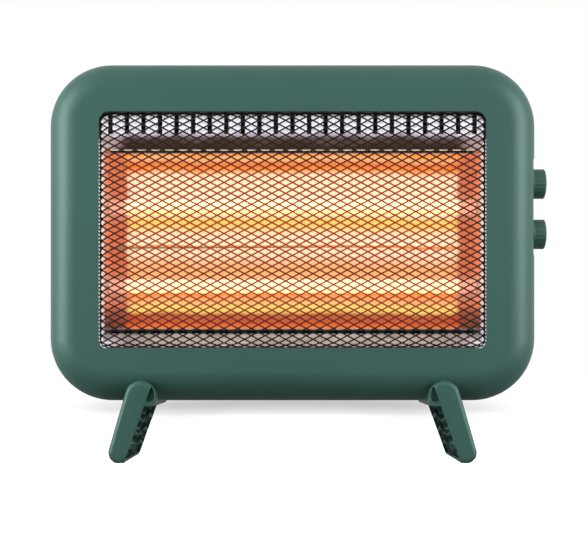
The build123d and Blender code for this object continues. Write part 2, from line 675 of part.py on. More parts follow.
# End plates: they close the troughs and carry the tube ends, flanged to the front shell
END_PLATE_BACK_Y = FRONT_Y + END_PLATE_BACK_LINE
for side_name, side in SIDES.items():
    with BuildPart() as end_plate:
        with BuildSketch(side_plane(side * PLATE_X)):
            with BuildLine():
                Polyline(
                    (SEAT_Y, WINDOW_TOP),
                    (REFLECTOR_Y, END_PLATE_TOP_RISE),
                    (END_PLATE_BACK_Y - END_PLATE_BACK_INSET, END_PLATE_TOP_RISE),
                    (END_PLATE_BACK_Y, END_PLATE_TOP_RISE - END_PLATE_BACK_INSET),
                    (END_PLATE_BACK_Y, END_PLATE_BOTTOM_RISE + END_PLATE_BACK_INSET),
                    (END_PLATE_BACK_Y - END_PLATE_BACK_INSET, END_PLATE_BOTTOM_RISE),
                    (REFLECTOR_Y, END_PLATE_BOTTOM_RISE),
                    (SEAT_Y, WINDOW_BOTTOM),
                    close=True,
                )
            make_face()
        extrude(amount=side * SHEET)
        with BuildSketch(face_plane(SEAT_Y)):
            with Locations((side * (PLATE_X + END_FLANGE_WIDTH / 2), 0)):
                Rectangle(END_FLANGE_WIDTH, END_FLANGE_HEIGHT)
        extrude(amount=-SHEET)
        with BuildSketch(side_plane(side * PLATE_X)):
            with Locations(*[(TUBE_Y, rise) for rise in TUBE_RISES.values()]):
                Circle(CAP_SPIGOT_DIAMETER / 2 + FIT_CLEARANCE)
            with Locations(*STRAP_FEET):
                Circle(RIVET_DIAMETER / 2 + SCREW_CLEARANCE)
        extrude(amount=side * SHEET, mode=Mode.SUBTRACT)
        with BuildSketch(face_plane(SEAT_Y)):
            with Locations(*END_POSTS):
                Circle(SCREW_HOLE / 2)
        extrude(amount=-SHEET, mode=Mode.SUBTRACT)
    save(end_plate.part, f"end_plate_{side_name}")

# Screws that hold the deflectors and end plates on the posts of the front shell
with BuildPart() as sheet_screws:
    with BuildSketch(face_plane(SEAT_Y + SHEET)):
        screw_sketch(SHEET_POSTS, SCREW_DIAMETER)
    extrude(amount=SHEET_SCREW_LENGTH)
    with BuildSketch(face_plane(SEAT_Y + SHEET)):
        screw_sketch(SHEET_POSTS, SCREW_HEAD_DIAMETER)
    extrude(amount=-SCREW_HEAD)
save(sheet_screws.part, "sheet_screws")

# Screws of the rear cover, deep in their wells
with BuildPart() as cover_screws:
    with BuildSketch(face_plane(PARTING_Y + WELL_FLOOR)):
        screw_sketch(COVER_POSTS, SCREW_DIAMETER)
    extrude(amount=COVER_SCREW_LENGTH)
    with BuildSketch(face_plane(PARTING_Y + WELL_FLOOR)):
        screw_sketch(COVER_POSTS, SCREW_HEAD_DIAMETER)
    extrude(amount=-SCREW_HEAD)
save(cover_screws.part, "cover_screws")

# Quartz tubes, with their heating coils
COIL_SPAN = 2 * (TUBE_END_X - COIL_LEAD)
COIL_PITCH = COIL_SPAN / COIL_TURNS
for level, rise in TUBE_RISES.items():
    with BuildPart() as quartz_tube:
        with BuildSketch(side_plane(-TUBE_END_X)):
            with Locations((TUBE_Y, rise)):
                Circle(TUBE_DIAMETER / 2)
                Circle(TUBE_DIAMETER / 2 - TUBE_WALL, mode=Mode.SUBTRACT)
        extrude(amount=2 * TUBE_END_X)
    save(quartz_tube.part, f"quartz_tube_{level}")

    coil_start = (BODY_X - COIL_SPAN / 2, TUBE_Y, BODY_Z + rise)
    with BuildPart() as heating_coil:
        with BuildLine() as coil_line:
            Helix(COIL_PITCH, COIL_SPAN, COIL_RADIUS, center=coil_start, direction=(1, 0, 0))
        with BuildSketch(Plane(origin=coil_line.line @ 0, z_dir=coil_line.line % 0)):
            RegularPolygon(COIL_WIRE / 2, COIL_WIRE_SIDES)
        sweep(is_frenet=True)
        # Straight leads from the last turns to the floors of the end caps
        for end, way in ((0, -1), (1, 1)):
            lead_start = coil_line.line @ end - Vector(way * COIL_WIRE / 2, 0, 0)
            with BuildSketch(Plane(origin=lead_start, x_dir=(0, 1, 0), z_dir=(way, 0, 0))):
                RegularPolygon(COIL_WIRE / 2, COIL_WIRE_SIDES)
            extrude(amount=COIL_LEAD + COIL_WIRE / 2)
    save(heating_coil.part, f"heating_coil_{level}")

# The least gap between one turn of a coil and the next, on points along the wire
STEPS_PER_TURN = 48
turn_points = [
    Vector(COIL_PITCH * t, COIL_RADIUS * math.cos(math.tau * t), COIL_RADIUS * math.sin(math.tau * t))
    for t in [step / STEPS_PER_TURN for step in range(3 * STEPS_PER_TURN)]
]
turn_gap = min(
    (a - b).length
    for i, a in enumerate(turn_points)
    for b in turn_points[i + STEPS_PER_TURN // 2 :]
) - COIL_WIRE
print("least gap of a heating coil to itself, mm:", round(turn_gap, 2))

# Ceramic end caps, with the pin and tab that bring the current in
for side_name, side in SIDES.items():
    for level, rise in TUBE_RISES.items():
        with BuildPart() as end_cap:
            with BuildSketch(side_plane(side * (PLATE_X - CAP_NOSE))):
                with Locations((TUBE_Y, rise)):
                    Circle(CAP_SPIGOT_DIAMETER / 2)
            extrude(amount=side * (CAP_NOSE + SHEET))
            with BuildSketch(side_plane(side * PLATE_OUT_X)):
                with Locations((TUBE_Y, rise)):
                    Circle(CAP_DIAMETER / 2)
            extrude(amount=side * CAP_LENGTH)
            with BuildSketch(side_plane(side * TUBE_END_X)):
                with Locations((TUBE_Y, rise)):
                    Circle(TUBE_DIAMETER / 2 + FIT_CLEARANCE)
            extrude(amount=side * (PLATE_X - CAP_NOSE - TUBE_END_X), mode=Mode.SUBTRACT)
            with BuildSketch(side_plane(side * TUBE_END_X)):
                with Locations((TUBE_Y, rise)):
                    Circle(PIN_DIAMETER / 2 + SCREW_CLEARANCE)
            extrude(amount=side * CAP_FLOOR, mode=Mode.SUBTRACT)
        save(end_cap.part, f"end_cap_{level}_{side_name}")

with BuildPart() as tube_terminals:
    for side in SIDES.values():
        with BuildSketch(side_plane(side * (TUBE_END_X - PIN_DEPTH))):
            with Locations(*[(TUBE_Y, rise) for rise in TUBE_RISES.values()]):
                Circle(PIN_DIAMETER / 2)
        extrude(amount=side * (PIN_DEPTH + CAP_FLOOR))
        with BuildSketch(side_plane(side * CAP_END_X)):
            with Locations(*[(TUBE_Y, rise) for rise in TUBE_RISES.values()]):
                Rectangle(TAB_THICKNESS, TAB_WIDTH)
        extrude(amount=side * TAB_LENGTH)
save(tube_terminals.part, "tube_terminals")

# Sprung straps that press the caps against the end plates, and their rivets
for side_name, side in SIDES.items():
    with BuildPart() as cap_strap:
        with BuildSketch(face_plane(TUBE_Y - STRAP_WIDTH / 2)):
            with BuildLine():
                Polyline(
                    (side * (PLATE_OUT_X + STRAP_SHEET / 2), UPPER_TUBE_RISE + STRAP_REACH + STRAP_FOOT),
                    (side * (PLATE_OUT_X + STRAP_SHEET / 2), UPPER_TUBE_RISE + STRAP_REACH),
                    (side * (CAP_END_X + STRAP_SHEET / 2), UPPER_TUBE_RISE + STRAP_REACH),
                    (side * (CAP_END_X + STRAP_SHEET / 2), LOWER_TUBE_RISE - STRAP_REACH),
                    (side * (PLATE_OUT_X + STRAP_SHEET / 2), LOWER_TUBE_RISE - STRAP_REACH),
                    (side * (PLATE_OUT_X + STRAP_SHEET / 2), LOWER_TUBE_RISE - STRAP_REACH - STRAP_FOOT),
                )
            trace(line_width=STRAP_SHEET)
        extrude(amount=-STRAP_WIDTH)
        with BuildSketch(side_plane(side * CAP_END_X)):
            with Locations(*[(TUBE_Y, rise) for rise in TUBE_RISES.values()]):
                Circle(STRAP_HOLE / 2)
        extrude(amount=side * STRAP_SHEET, mode=Mode.SUBTRACT)
        with BuildSketch(side_plane(side * PLATE_OUT_X)):
            with Locations(*STRAP_FEET):
                Circle(RIVET_DIAMETER / 2 + SCREW_CLEARANCE)
        extrude(amount=side * STRAP_SHEET, mode=Mode.SUBTRACT)
    save(cap_strap.part, f"cap_strap_{side_name}")

with BuildPart() as strap_rivets:
    for side in SIDES.values():
        with BuildSketch(side_plane(side * (PLATE_X - RIVET_TAIL))):
            screw_sketch(STRAP_FEET, RIVET_HEAD_DIAMETER)
        extrude(amount=side * RIVET_TAIL)
        with BuildSketch(side_plane(side * PLATE_X)):
            screw_sketch(STRAP_FEET, RIVET_DIAMETER)
        extrude(amount=side * (SHEET + STRAP_SHEET))
        with BuildSketch(side_plane(side * (PLATE_OUT_X + STRAP_SHEET))):
            screw_sketch(STRAP_FEET, RIVET_HEAD_DIAMETER)
        extrude(amount=side * RIVET_HEAD)
save(strap_rivets.part, "strap_rivets")

# Thermal cut-out on the left end plate, between the two tubes
with BuildPart() as thermal_cutout:
    with BuildSketch(side_plane(-PLATE_OUT_X)):
        with Locations((TUBE_Y, CUTOUT_RISE)):
            Circle(CUTOUT_DIAMETER / 2)
    extrude(amount=-CUTOUT_HEIGHT)
    with BuildSketch(side_plane(-PLATE_OUT_X - CUTOUT_HEIGHT)):
        with Locations((TUBE_Y, CUTOUT_RISE)):
            Circle(CUTOUT_CAP_DIAMETER / 2)
    extrude(amount=-CUTOUT_CAP)
    with BuildSketch(side_plane(-PLATE_OUT_X - CUTOUT_HEIGHT - CUTOUT_CAP)):
        with Locations((TUBE_Y, CUTOUT_RISE)):
            with GridLocations(TAB_WIDTH, 0, 2, 1):
                Rectangle(TAB_THICKNESS, TAB_WIDTH)
    extrude(amount=-CUTOUT_TAB)
save(thermal_cutout.part, "thermal_cutout")

# Knobs: fluted grip over a plain skirt, with a pointer groove and a bore for the shaft
KNOB_BASE_X = RECESS_X + KNOB_GAP
KNOB_HEIGHT = SIDE_X + KNOB_PROJECTION - KNOB_BASE_X
for level, rise in KNOB_RISES.items():
    with BuildPart() as knob:
        with BuildSketch(side_plane(KNOB_BASE_X)):
            with Locations((CONTROL_Y, rise)):
                Circle(KNOB_DIAMETER / 2)
        extrude(amount=KNOB_HEIGHT)
        chamfer(knob.faces().sort_by(Axis.X)[-1].edges(), KNOB_EDGE)
        with BuildSketch(side_plane(KNOB_BASE_X)):
            with Locations((CONTROL_Y, rise)):
                with PolarLocations(KNOB_DIAMETER / 2 + FLUTE_RADIUS - FLUTE_BITE, KNOB_FLUTES):
                    RegularPolygon(FLUTE_RADIUS, 3, rotation=180)
        extrude(amount=KNOB_HEIGHT, mode=Mode.SUBTRACT)
        with BuildSketch(side_plane(KNOB_BASE_X)):
            with Locations((CONTROL_Y, rise)):
                Circle(KNOB_SKIRT_DIAMETER / 2)
        extrude(amount=KNOB_SKIRT)
        with BuildSketch(side_plane(KNOB_BASE_X + KNOB_HEIGHT)):
            with Locations((CONTROL_Y, rise + (KNOB_DIAMETER - POINTER_LENGTH) / 2 - KNOB_EDGE)):
                Rectangle(POINTER_WIDTH, POINTER_LENGTH)
        extrude(amount=-POINTER_DEPTH, mode=Mode.SUBTRACT)
        with BuildSketch(side_plane(KNOB_BASE_X)):
            with Locations((CONTROL_Y, rise)):
                Circle(SHAFT_DIAMETER / 2 + KNOB_FIT)
            with Locations((CONTROL_Y, rise - SHAFT_DIAMETER + SHAFT_FLAT - KNOB_FIT)):
                Rectangle(2 * SHAFT_DIAMETER, SHAFT_DIAMETER, mode=Mode.SUBTRACT)
        extrude(amount=SHAFT_IN_KNOB, mode=Mode.SUBTRACT)
    save(knob.part, f"knob_{level}")

# Power selector behind the upper knob and thermostat behind the lower one
CONTROLS = {"upper": ("selector", SELECTOR_SIZE), "lower": ("thermostat", THERMOSTAT_SIZE)}
for level, (control, (depth, width, height)) in CONTROLS.items():
    rise = KNOB_RISES[level]
    with BuildPart() as shaft:
        with BuildSketch(side_plane(BRACKET_X - SHAFT_IN_SWITCH)):
            with Locations((CONTROL_Y, rise)):
                Circle(SHAFT_DIAMETER / 2)
        extrude(amount=KNOB_BASE_X + SHAFT_IN_KNOB - BRACKET_X + SHAFT_IN_SWITCH)
        with BuildSketch(side_plane(KNOB_BASE_X)):
            with Locations((CONTROL_Y, rise - SHAFT_DIAMETER + SHAFT_FLAT)):
                Rectangle(2 * SHAFT_DIAMETER, SHAFT_DIAMETER)
        extrude(amount=SHAFT_IN_KNOB, mode=Mode.SUBTRACT)
    save(shaft.part, f"{control}_shaft")

    with BuildPart() as switch_body:
        with BuildSketch(side_plane(BRACKET_X)):
            with Locations((CONTROL_Y, rise)):
                RectangleRounded(width, height, SWITCH_ROUND)
        extrude(amount=-depth)
        with BuildSketch(side_plane(BRACKET_X)):
            with Locations((CONTROL_Y, rise)):
                Circle(NOSE_DIAMETER / 2)
        extrude(amount=RECESS_X - NOSE_SETBACK - BRACKET_X)
        with BuildSketch(side_plane(BRACKET_X - depth)):
            with Locations((CONTROL_Y, rise)):
                with GridLocations(0, CONTROL_TAB_PITCH, 1, CONTROL_TABS):
                    Rectangle(TAB_THICKNESS, TAB_WIDTH)
        extrude(amount=-CONTROL_TAB_REACH)
        with BuildSketch(side_plane(BRACKET_X - SHAFT_IN_SWITCH - SCREW_CLEARANCE)):
            with Locations((CONTROL_Y, rise)):
                Circle(SHAFT_DIAMETER / 2 + RUNNING_CLEARANCE)
        extrude(amount=depth + WALL, mode=Mode.SUBTRACT)
    save(switch_body.part, f"{control}_body")

# Steel plate that carries both controls on the thick wall behind the recess
with BuildPart() as control_plate:
    with BuildSketch(side_plane(BRACKET_X)):
        with Locations((CONTROL_Y, RECESS_RISE)):
            Rectangle(CONTROL_PLATE_DEPTH, CONTROL_PLATE_HEIGHT)
        with Locations(*[(CONTROL_Y, rise) for rise in KNOB_RISES.values()]):
            Circle(NOSE_DIAMETER / 2 + FIT_CLEARANCE, mode=Mode.SUBTRACT)
        with Locations(*CONTROL_SCREWS):
            Circle(SCREW_HOLE / 2, mode=Mode.SUBTRACT)
    extrude(amount=CONTROL_PLATE)
save(control_plate.part, "control_plate")

with BuildPart() as control_screws:
    with BuildSketch(side_plane(BRACKET_X)):
        screw_sketch(CONTROL_SCREWS, SCREW_DIAMETER)
    extrude(amount=CONTROL_SCREW_LENGTH)
    with BuildSketch(side_plane(BRACKET_X)):
        screw_sketch(CONTROL_SCREWS, SCREW_HEAD_DIAMETER)
    extrude(amount=-SCREW_HEAD)
save(control_screws.part, "control_screws")

# Tilt switch: a case with a lid, and a weight that swings on a pin between the two
TILT_WIDTH, TILT_DEPTH, TILT_HEIGHT = TILT_CASE
TILT_LEFT_X = TILT_X - TILT_WIDTH / 2
TILT_LID_X = TILT_X + TILT_WIDTH / 2 - TILT_WALL
TILT_MIDDLE = (TILT_Y, FLOOR_RISE + TILT_HEIGHT / 2)
with BuildPart() as tilt_switch_case:
    with BuildSketch(side_plane(TILT_LEFT_X)):
        with Locations(TILT_MIDDLE):
            Rectangle(TILT_DEPTH, TILT_HEIGHT)
    extrude(amount=TILT_LID_X - TILT_LEFT_X)
    with BuildSketch(side_plane(TILT_LEFT_X + TILT_WALL)):
        with Locations(TILT_MIDDLE):
            Rectangle(TILT_DEPTH - 2 * TILT_WALL, TILT_HEIGHT - 2 * TILT_WALL)
    extrude(amount=TILT_WIDTH, mode=Mode.SUBTRACT)
    with BuildSketch(side_plane(TILT_LEFT_X + TILT_WALL / 2)):
        with Locations((TILT_Y, PIVOT_RISE)):
            Circle(TILT_PIN_DIAMETER / 2)
    extrude(amount=TILT_LID_X - TILT_LEFT_X - TILT_WALL / 2)
save(tilt_switch_case.part, "tilt_switch_case")

with BuildPart() as tilt_switch_lid:
    with BuildSketch(side_plane(TILT_LID_X)):
        with Locations(TILT_MIDDLE):
            Rectangle(TILT_DEPTH, TILT_HEIGHT)
    extrude(amount=TILT_WALL)
save(tilt_switch_lid.part, "tilt_switch_lid")

HUB_HALF_WIDTH = TILT_WIDTH / 2 - TILT_WALL - TILT_SIDE_CLEARANCE
with BuildPart() as tilt_weight:
    with BuildSketch(side_plane(TILT_X)):
        with Locations((TILT_Y, PIVOT_RISE - BOB_DROP)):
            Circle(BOB_DIAMETER / 2)
        with Locations((TILT_Y, PIVOT_RISE - BOB_DROP / 2)):
            Rectangle(ARM_WIDTH, BOB_DROP)
    extrude(amount=BOB_THICKNESS / 2, both=True)
    with BuildSketch(side_plane(TILT_X)):
        with Locations((TILT_Y, PIVOT_RISE)):
            Circle(TILT_HUB_DIAMETER / 2)
    extrude(amount=HUB_HALF_WIDTH, both=True)
    with BuildSketch(side_plane(TILT_X)):
        with Locations((TILT_Y, PIVOT_RISE)):
            Circle(TILT_PIN_DIAMETER / 2 + RUNNING_CLEARANCE)
    extrude(amount=HUB_HALF_WIDTH, both=True, mode=Mode.SUBTRACT)
save(tilt_weight.part, "tilt_weight")

# Cord inlet: gland and its nut in the back wall, with no cord in it
GLAND_END_Y = BACK_INSIDE_Y - GLAND_INSIDE
with BuildPart() as cord_gland:
    with BuildSketch(face_plane(BACK_Y)):
        with Locations((GLAND_X, GLAND_RISE)):
            Circle(GLAND_FLANGE_DIAMETER / 2)
    extrude(amount=-GLAND_FLANGE)
    chamfer(cord_gland.faces().sort_by(Axis.Y)[-1].edges(), GLAND_EDGE)
    with BuildSketch(face_plane(BACK_Y)):
        with Locations((GLAND_X, GLAND_RISE)):
            Circle(GLAND_DIAMETER / 2)
    extrude(amount=BACK_Y - GLAND_END_Y)
    with BuildSketch(face_plane(GLAND_END_Y)):
        with Locations((GLAND_X, GLAND_RISE)):
            Circle(GLAND_BORE / 2)
    extrude(amount=-(BACK_Y + GLAND_FLANGE - GLAND_END_Y), mode=Mode.SUBTRACT)
save(cord_gland.part, "cord_gland")

with BuildPart() as gland_nut:
    with BuildSketch(face_plane(BACK_INSIDE_Y)):
        with Locations((GLAND_X, GLAND_RISE)):
            RegularPolygon(GLAND_NUT_ACROSS / 2, 6, major_radius=False)
            Circle(GLAND_DIAMETER / 2 + SCREW_CLEARANCE, mode=Mode.SUBTRACT)
    extrude(amount=GLAND_NUT)
save(gland_nut.part, "gland_nut")

# Cord clamp and terminal block on the inside of the back wall
CLAMP_WIDTH, CLAMP_DEPTH, CLAMP_HEIGHT = CLAMP_SIZE
with BuildPart() as cord_clamp:
    with BuildSketch(face_plane(BACK_INSIDE_Y)):
        with Locations((CLAMP_X, GLAND_RISE)):
            Rectangle(CLAMP_WIDTH, CLAMP_HEIGHT)
        with Locations(*CLAMP_SCREWS):
            Circle(SCREW_HOLE / 2, mode=Mode.SUBTRACT)
    extrude(amount=CLAMP_DEPTH)
    with BuildSketch(side_plane(CLAMP_X - CLAMP_WIDTH / 2)):
        with Locations((BACK_INSIDE_Y, GLAND_RISE)):
            Circle(CLAMP_NOTCH / 2)
    extrude(amount=CLAMP_WIDTH, mode=Mode.SUBTRACT)
save(cord_clamp.part, "cord_clamp")

BLOCK_WIDTH, BLOCK_DEPTH, BLOCK_HEIGHT = BLOCK_SIZE
BLOCK_FLOOR_Y = BACK_INSIDE_Y - BLOCK_DEPTH + BLOCK_BARRIER_DEPTH
with BuildPart() as terminal_block:
    with BuildSketch(face_plane(BACK_INSIDE_Y)):
        with Locations((BLOCK_X, GLAND_RISE)):
            Rectangle(BLOCK_WIDTH, BLOCK_HEIGHT)
        with Locations(*BLOCK_SCREWS):
            Circle(SCREW_HOLE / 2, mode=Mode.SUBTRACT)
    extrude(amount=BLOCK_DEPTH)
    with BuildSketch(face_plane(BLOCK_FLOOR_Y)):
        with Locations((BLOCK_X, GLAND_RISE)):
            with GridLocations(BLOCK_PITCH, 0, BLOCK_POLES, 1):
                Rectangle(BLOCK_PITCH - BLOCK_BARRIER, BLOCK_HEIGHT)
        with Locations(*BLOCK_SCREWS):
            Circle(SCREW_HEAD_DIAMETER / 2 + FIT_CLEARANCE)
    extrude(amount=BLOCK_BARRIER_DEPTH, mode=Mode.SUBTRACT)
    with BuildSketch(face_plane(BLOCK_FLOOR_Y)):
        with Locations((BLOCK_X, GLAND_RISE)):
            with GridLocations(BLOCK_PITCH, 0, BLOCK_POLES, 1):
                Circle(INSERT_DIAMETER / 2 + SCREW_CLEARANCE)
    extrude(amount=-INSERT_DEPTH, mode=Mode.SUBTRACT)
save(terminal_block.part, "terminal_block")

with BuildPart() as terminal_inserts:
    with BuildSketch(face_plane(BLOCK_FLOOR_Y)):
        with Locations((BLOCK_X, GLAND_RISE)):
            with GridLocations(BLOCK_PITCH, 0, BLOCK_POLES, 1):
                Circle(INSERT_DIAMETER / 2)
    extrude(amount=-INSERT_DEPTH)
    with BuildSketch(face_plane(BLOCK_FLOOR_Y)):
        with Locations((BLOCK_X, GLAND_RISE)):
            with GridLocations(BLOCK_PITCH, 0, BLOCK_POLES, 1):
                Rectangle(INSERT_DIAMETER, INSERT_SLOT)
    extrude(amount=-INSERT_SLOT, mode=Mode.SUBTRACT)
save(terminal_inserts.part, "terminal_inserts")

with BuildPart() as inner_screws:
    for places, seat_y in (CLAMP_SCREWS, BACK_INSIDE_Y - CLAMP_DEPTH), (BLOCK_SCREWS, BLOCK_FLOOR_Y):
        with BuildSketch(face_plane(seat_y)):
            screw_sketch(places, SCREW_DIAMETER)
        extrude(amount=seat_y - BACK_INSIDE_Y - INNER_SCREW_BITE)
        with BuildSketch(face_plane(seat_y)):
            screw_sketch(places, SCREW_HEAD_DIAMETER)
        extrude(amount=SCREW_HEAD)
save(inner_screws.part, "inner_screws")

# The space that the body takes out of the tops of the feet
with BuildPart() as saddle:
    with BuildSketch(side_plane(-SIDE_X, zero=FLOOR_GAP)):
        with Locations((0, BODY_HEIGHT / 4)):
            Rectangle(BODY_DEPTH + 2 * FOOT_SEAT_CLEARANCE, BODY_HEIGHT / 2)
        low_corners = vertices().group_by(Axis.Y)[0].sort_by(Axis.X)
        fillet(low_corners[0], FRONT_ROLL)
        low_corners = vertices().group_by(Axis.Y)[0].sort_by(Axis.X)
        fillet(low_corners[-1], BACK_ROLL)
    extrude(amount=BODY_WIDTH)

# Feet: hollow tapered bars, open on the inner side, with cross walls and zigzag ribs inside
FOOT_FRONT_Y = -FOOT_DEPTH / 2
BAY_DEPTH = (FOOT_DEPTH - 2 * FOOT_WALL - (FOOT_BAYS - 1) * BAY_WALL) / FOOT_BAYS
MOUTH_LOW = -FOOT_TOE_HEIGHT
for side_name, side in SIDES.items():
    with BuildPart() as foot_pocket:
        for bay in range(FOOT_BAYS):
            bay_front = FOOT_FRONT_Y + FOOT_WALL + bay * (BAY_DEPTH + BAY_WALL)
            with BuildSketch(face_plane(bay_front, zero=0)):
                foot_outline(side, FOOT_WALL)
                with Locations((side * FOOT_HEAD_X, WEB_HEIGHT + FOOT_HEAD_RADIUS)):
                    Rectangle(4 * FOOT_HEAD_RADIUS, 2 * FOOT_HEAD_RADIUS, mode=Mode.SUBTRACT)
            extrude(amount=-BAY_DEPTH)
        with BuildSketch(side_plane(side * FOOT_HEAD_X, zero=0)):
            for rib in range(1, FOOT_RIBS + 1):
                rib_top = FLOOR_GAP - FOOT_RIB / 2 - rib * FOOT_RIB_PITCH
                with BuildLine():
                    Polyline(
                        *[
                            (
                                FOOT_FRONT_Y + FOOT_DEPTH * bay / FOOT_BAYS,
                                rib_top - FOOT_RIB_DROP * (bay % 2),
                            )
                            for bay in range(FOOT_BAYS + 1)
                        ]
                    )
                trace(line_width=FOOT_RIB)
        extrude(amount=4 * FOOT_HEAD_RADIUS, both=True, mode=Mode.SUBTRACT)

    with BuildPart() as foot:
        with BuildSketch(face_plane(FOOT_FRONT_Y, zero=0)):
            foot_outline(side, 0)
        extrude(amount=-FOOT_DEPTH)
        fillet(foot.faces().sort_by(Axis.Y)[0].edges(), FOOT_EDGE)
        chamfer(foot.faces().sort_by(Axis.Y)[-1].edges(), FOOT_REAR_EDGE)
        # Open mouth of the leg, and the trimmed face and rim of its head
        with BuildSketch(face_plane(FOOT_FRONT_Y, zero=0)):
            mouth_outline(side, MOUTH_LOW, WEB_HEIGHT)
        extrude(amount=-FOOT_DEPTH, mode=Mode.SUBTRACT)
        with BuildSketch(face_plane(FOOT_FRONT_Y, zero=0)):
            mouth_outline(side, WEB_HEIGHT, FOOT_HEAD_HEIGHT + FOOT_HEAD_RADIUS)
        extrude(amount=-FOOT_FACE, mode=Mode.SUBTRACT)
        with BuildSketch(face_plane(FOOT_FRONT_Y + FOOT_FACE, zero=0)):
            foot_outline(side, RIM_WALL)
            with Locations((side * FOOT_HEAD_X, FLOOR_GAP - FOOT_HEAD_RADIUS)):
                Rectangle(8 * FOOT_HEAD_RADIUS, 2 * FOOT_HEAD_RADIUS, mode=Mode.SUBTRACT)
        extrude(amount=-RIM_DEPTH, mode=Mode.SUBTRACT)
        add(foot_pocket.part, mode=Mode.SUBTRACT)
        add(saddle.part, mode=Mode.SUBTRACT)
        split(bisect_by=Plane.XY, keep=Keep.TOP)
        with BuildSketch(level_plane(WEB_HEIGHT)):
            with Locations(*[(side * FOOT_SCREW_X, y) for y in FOOT_SCREW_YS.values()]):
                Circle(SCREW_HOLE / 2)
        extrude(amount=FOOT_WEB, mode=Mode.SUBTRACT)
    save(foot.part, f"foot_{side_name}")

with BuildPart() as foot_screws:
    with BuildSketch(level_plane(WEB_HEIGHT)):
        screw_sketch(FOOT_SCREWS, SCREW_DIAMETER)
    extrude(amount=FOOT_SCREW_LENGTH)
    with BuildSketch(level_plane(WEB_HEIGHT)):
        screw_sketch(FOOT_SCREWS, SCREW_HEAD_DIAMETER)
    extrude(amount=-SCREW_HEAD)
save(foot_screws.part, "foot_screws")
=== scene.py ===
import json
import math

import bmesh
import bpy
from bpy.props import FloatProperty, FloatVectorProperty, IntProperty, PointerProperty
from bpy.types import Operator, Panel, PropertyGroup
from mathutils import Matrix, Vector

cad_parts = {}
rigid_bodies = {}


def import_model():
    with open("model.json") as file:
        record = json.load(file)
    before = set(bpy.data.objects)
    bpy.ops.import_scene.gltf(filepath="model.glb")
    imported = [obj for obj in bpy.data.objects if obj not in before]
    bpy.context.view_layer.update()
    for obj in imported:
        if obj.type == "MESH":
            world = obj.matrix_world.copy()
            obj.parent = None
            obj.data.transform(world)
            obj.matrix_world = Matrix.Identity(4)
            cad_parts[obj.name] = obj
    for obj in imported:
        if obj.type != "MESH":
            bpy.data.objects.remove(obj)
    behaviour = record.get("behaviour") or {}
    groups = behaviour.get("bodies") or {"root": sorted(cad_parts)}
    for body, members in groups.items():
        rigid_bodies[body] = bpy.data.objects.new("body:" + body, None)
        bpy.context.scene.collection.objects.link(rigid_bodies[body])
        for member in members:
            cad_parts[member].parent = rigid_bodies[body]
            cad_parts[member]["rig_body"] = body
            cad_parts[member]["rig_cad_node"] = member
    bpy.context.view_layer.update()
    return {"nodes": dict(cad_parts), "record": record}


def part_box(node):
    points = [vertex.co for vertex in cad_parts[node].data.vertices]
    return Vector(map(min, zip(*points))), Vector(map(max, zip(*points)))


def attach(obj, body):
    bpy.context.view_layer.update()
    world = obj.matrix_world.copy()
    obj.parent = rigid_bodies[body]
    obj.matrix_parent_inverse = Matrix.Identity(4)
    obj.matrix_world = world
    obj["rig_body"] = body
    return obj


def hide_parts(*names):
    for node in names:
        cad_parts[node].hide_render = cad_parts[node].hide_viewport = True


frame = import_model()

bl_info = {
    "name": "Quartz heater",
    "version": (1, 0, 0),
    "blender": (4, 5, 0),
    "location": "3D View > Sidebar > Heater",
    "description": "Builds the pieces, finishes and studio of a two-tube quartz heater",
    "category": "Object",
}

MM = 0.001


# Places of the heater's own parts, read from the frame

SHELL_LOW, SHELL_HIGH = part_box("front_frame")
MIDDLE_X = (SHELL_LOW.x + SHELL_HIGH.x) / 2
MIDDLE_Z = (SHELL_LOW.z + SHELL_HIGH.z) / 2
TUBE_BOXES = {level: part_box(f"quartz_tube_{level}") for level in ("upper", "lower")}
TUBE_Z = {level: (low.z + high.z) / 2 for level, (low, high) in TUBE_BOXES.items()}
TUBE_Y = (TUBE_BOXES["upper"][0].y + TUBE_BOXES["upper"][1].y) / 2
SLOT_OF = {row["node"]: row["material_slot"] for row in frame["record"]["subparts"]}
WINDOW_HALF_X = 153.5 * MM
WINDOW_HALF_Z = 93.75 * MM
WINDOW_Z = MIDDLE_Z + 0.5 * MM


# Small tools for modelling

def pick(*pieces):
    """Leaves only these pieces selected, in object mode, the first of them active."""
    if bpy.context.mode != "OBJECT":
        bpy.ops.object.mode_set(mode="OBJECT")
    bpy.ops.object.select_all(action="DESELECT")
    for piece in pieces:
        piece.select_set(True)
    bpy.context.view_layer.objects.active = pieces[0]


def choose(piece, kind, test):
    """Opens a piece in edit mode with the points, edges or faces that pass a test selected."""
    if bpy.context.mode != "EDIT_MESH":
        pick(piece)
        bpy.ops.object.mode_set(mode="EDIT")
    bpy.ops.mesh.select_mode(type=kind)
    bpy.ops.mesh.select_all(action="DESELECT")
    mesh = bmesh.from_edit_mesh(piece.data)
    parts = {"VERT": mesh.verts, "EDGE": mesh.edges, "FACE": mesh.faces}[kind]
    for part in parts:
        if test(part):
            part.select_set(True)
    bmesh.update_edit_mesh(piece.data)


def choose_all(piece):
    """Opens a piece in edit mode with everything selected."""
    choose(piece, "FACE", lambda face: True)


def start(name, primitive, **settings):
    """Adds one primitive with nothing else selected, and names it."""
    if bpy.context.mode != "OBJECT":
        bpy.ops.object.mode_set(mode="OBJECT")
    bpy.ops.object.select_all(action="DESELECT")
    primitive(**settings)
    piece = bpy.context.active_object
    piece.name = name
    piece.data.name = name
    bpy.ops.object.transform_apply(location=True, rotation=True, scale=True)
    return piece


def modify(piece, kind, **settings):
    """Puts a modifier on a piece and applies it."""
    pick(piece)
    modifier = piece.modifiers.new(kind.title(), kind)
    for option, value in settings.items():
        setattr(modifier, option, value)
    bpy.ops.object.modifier_apply(modifier=modifier.name)


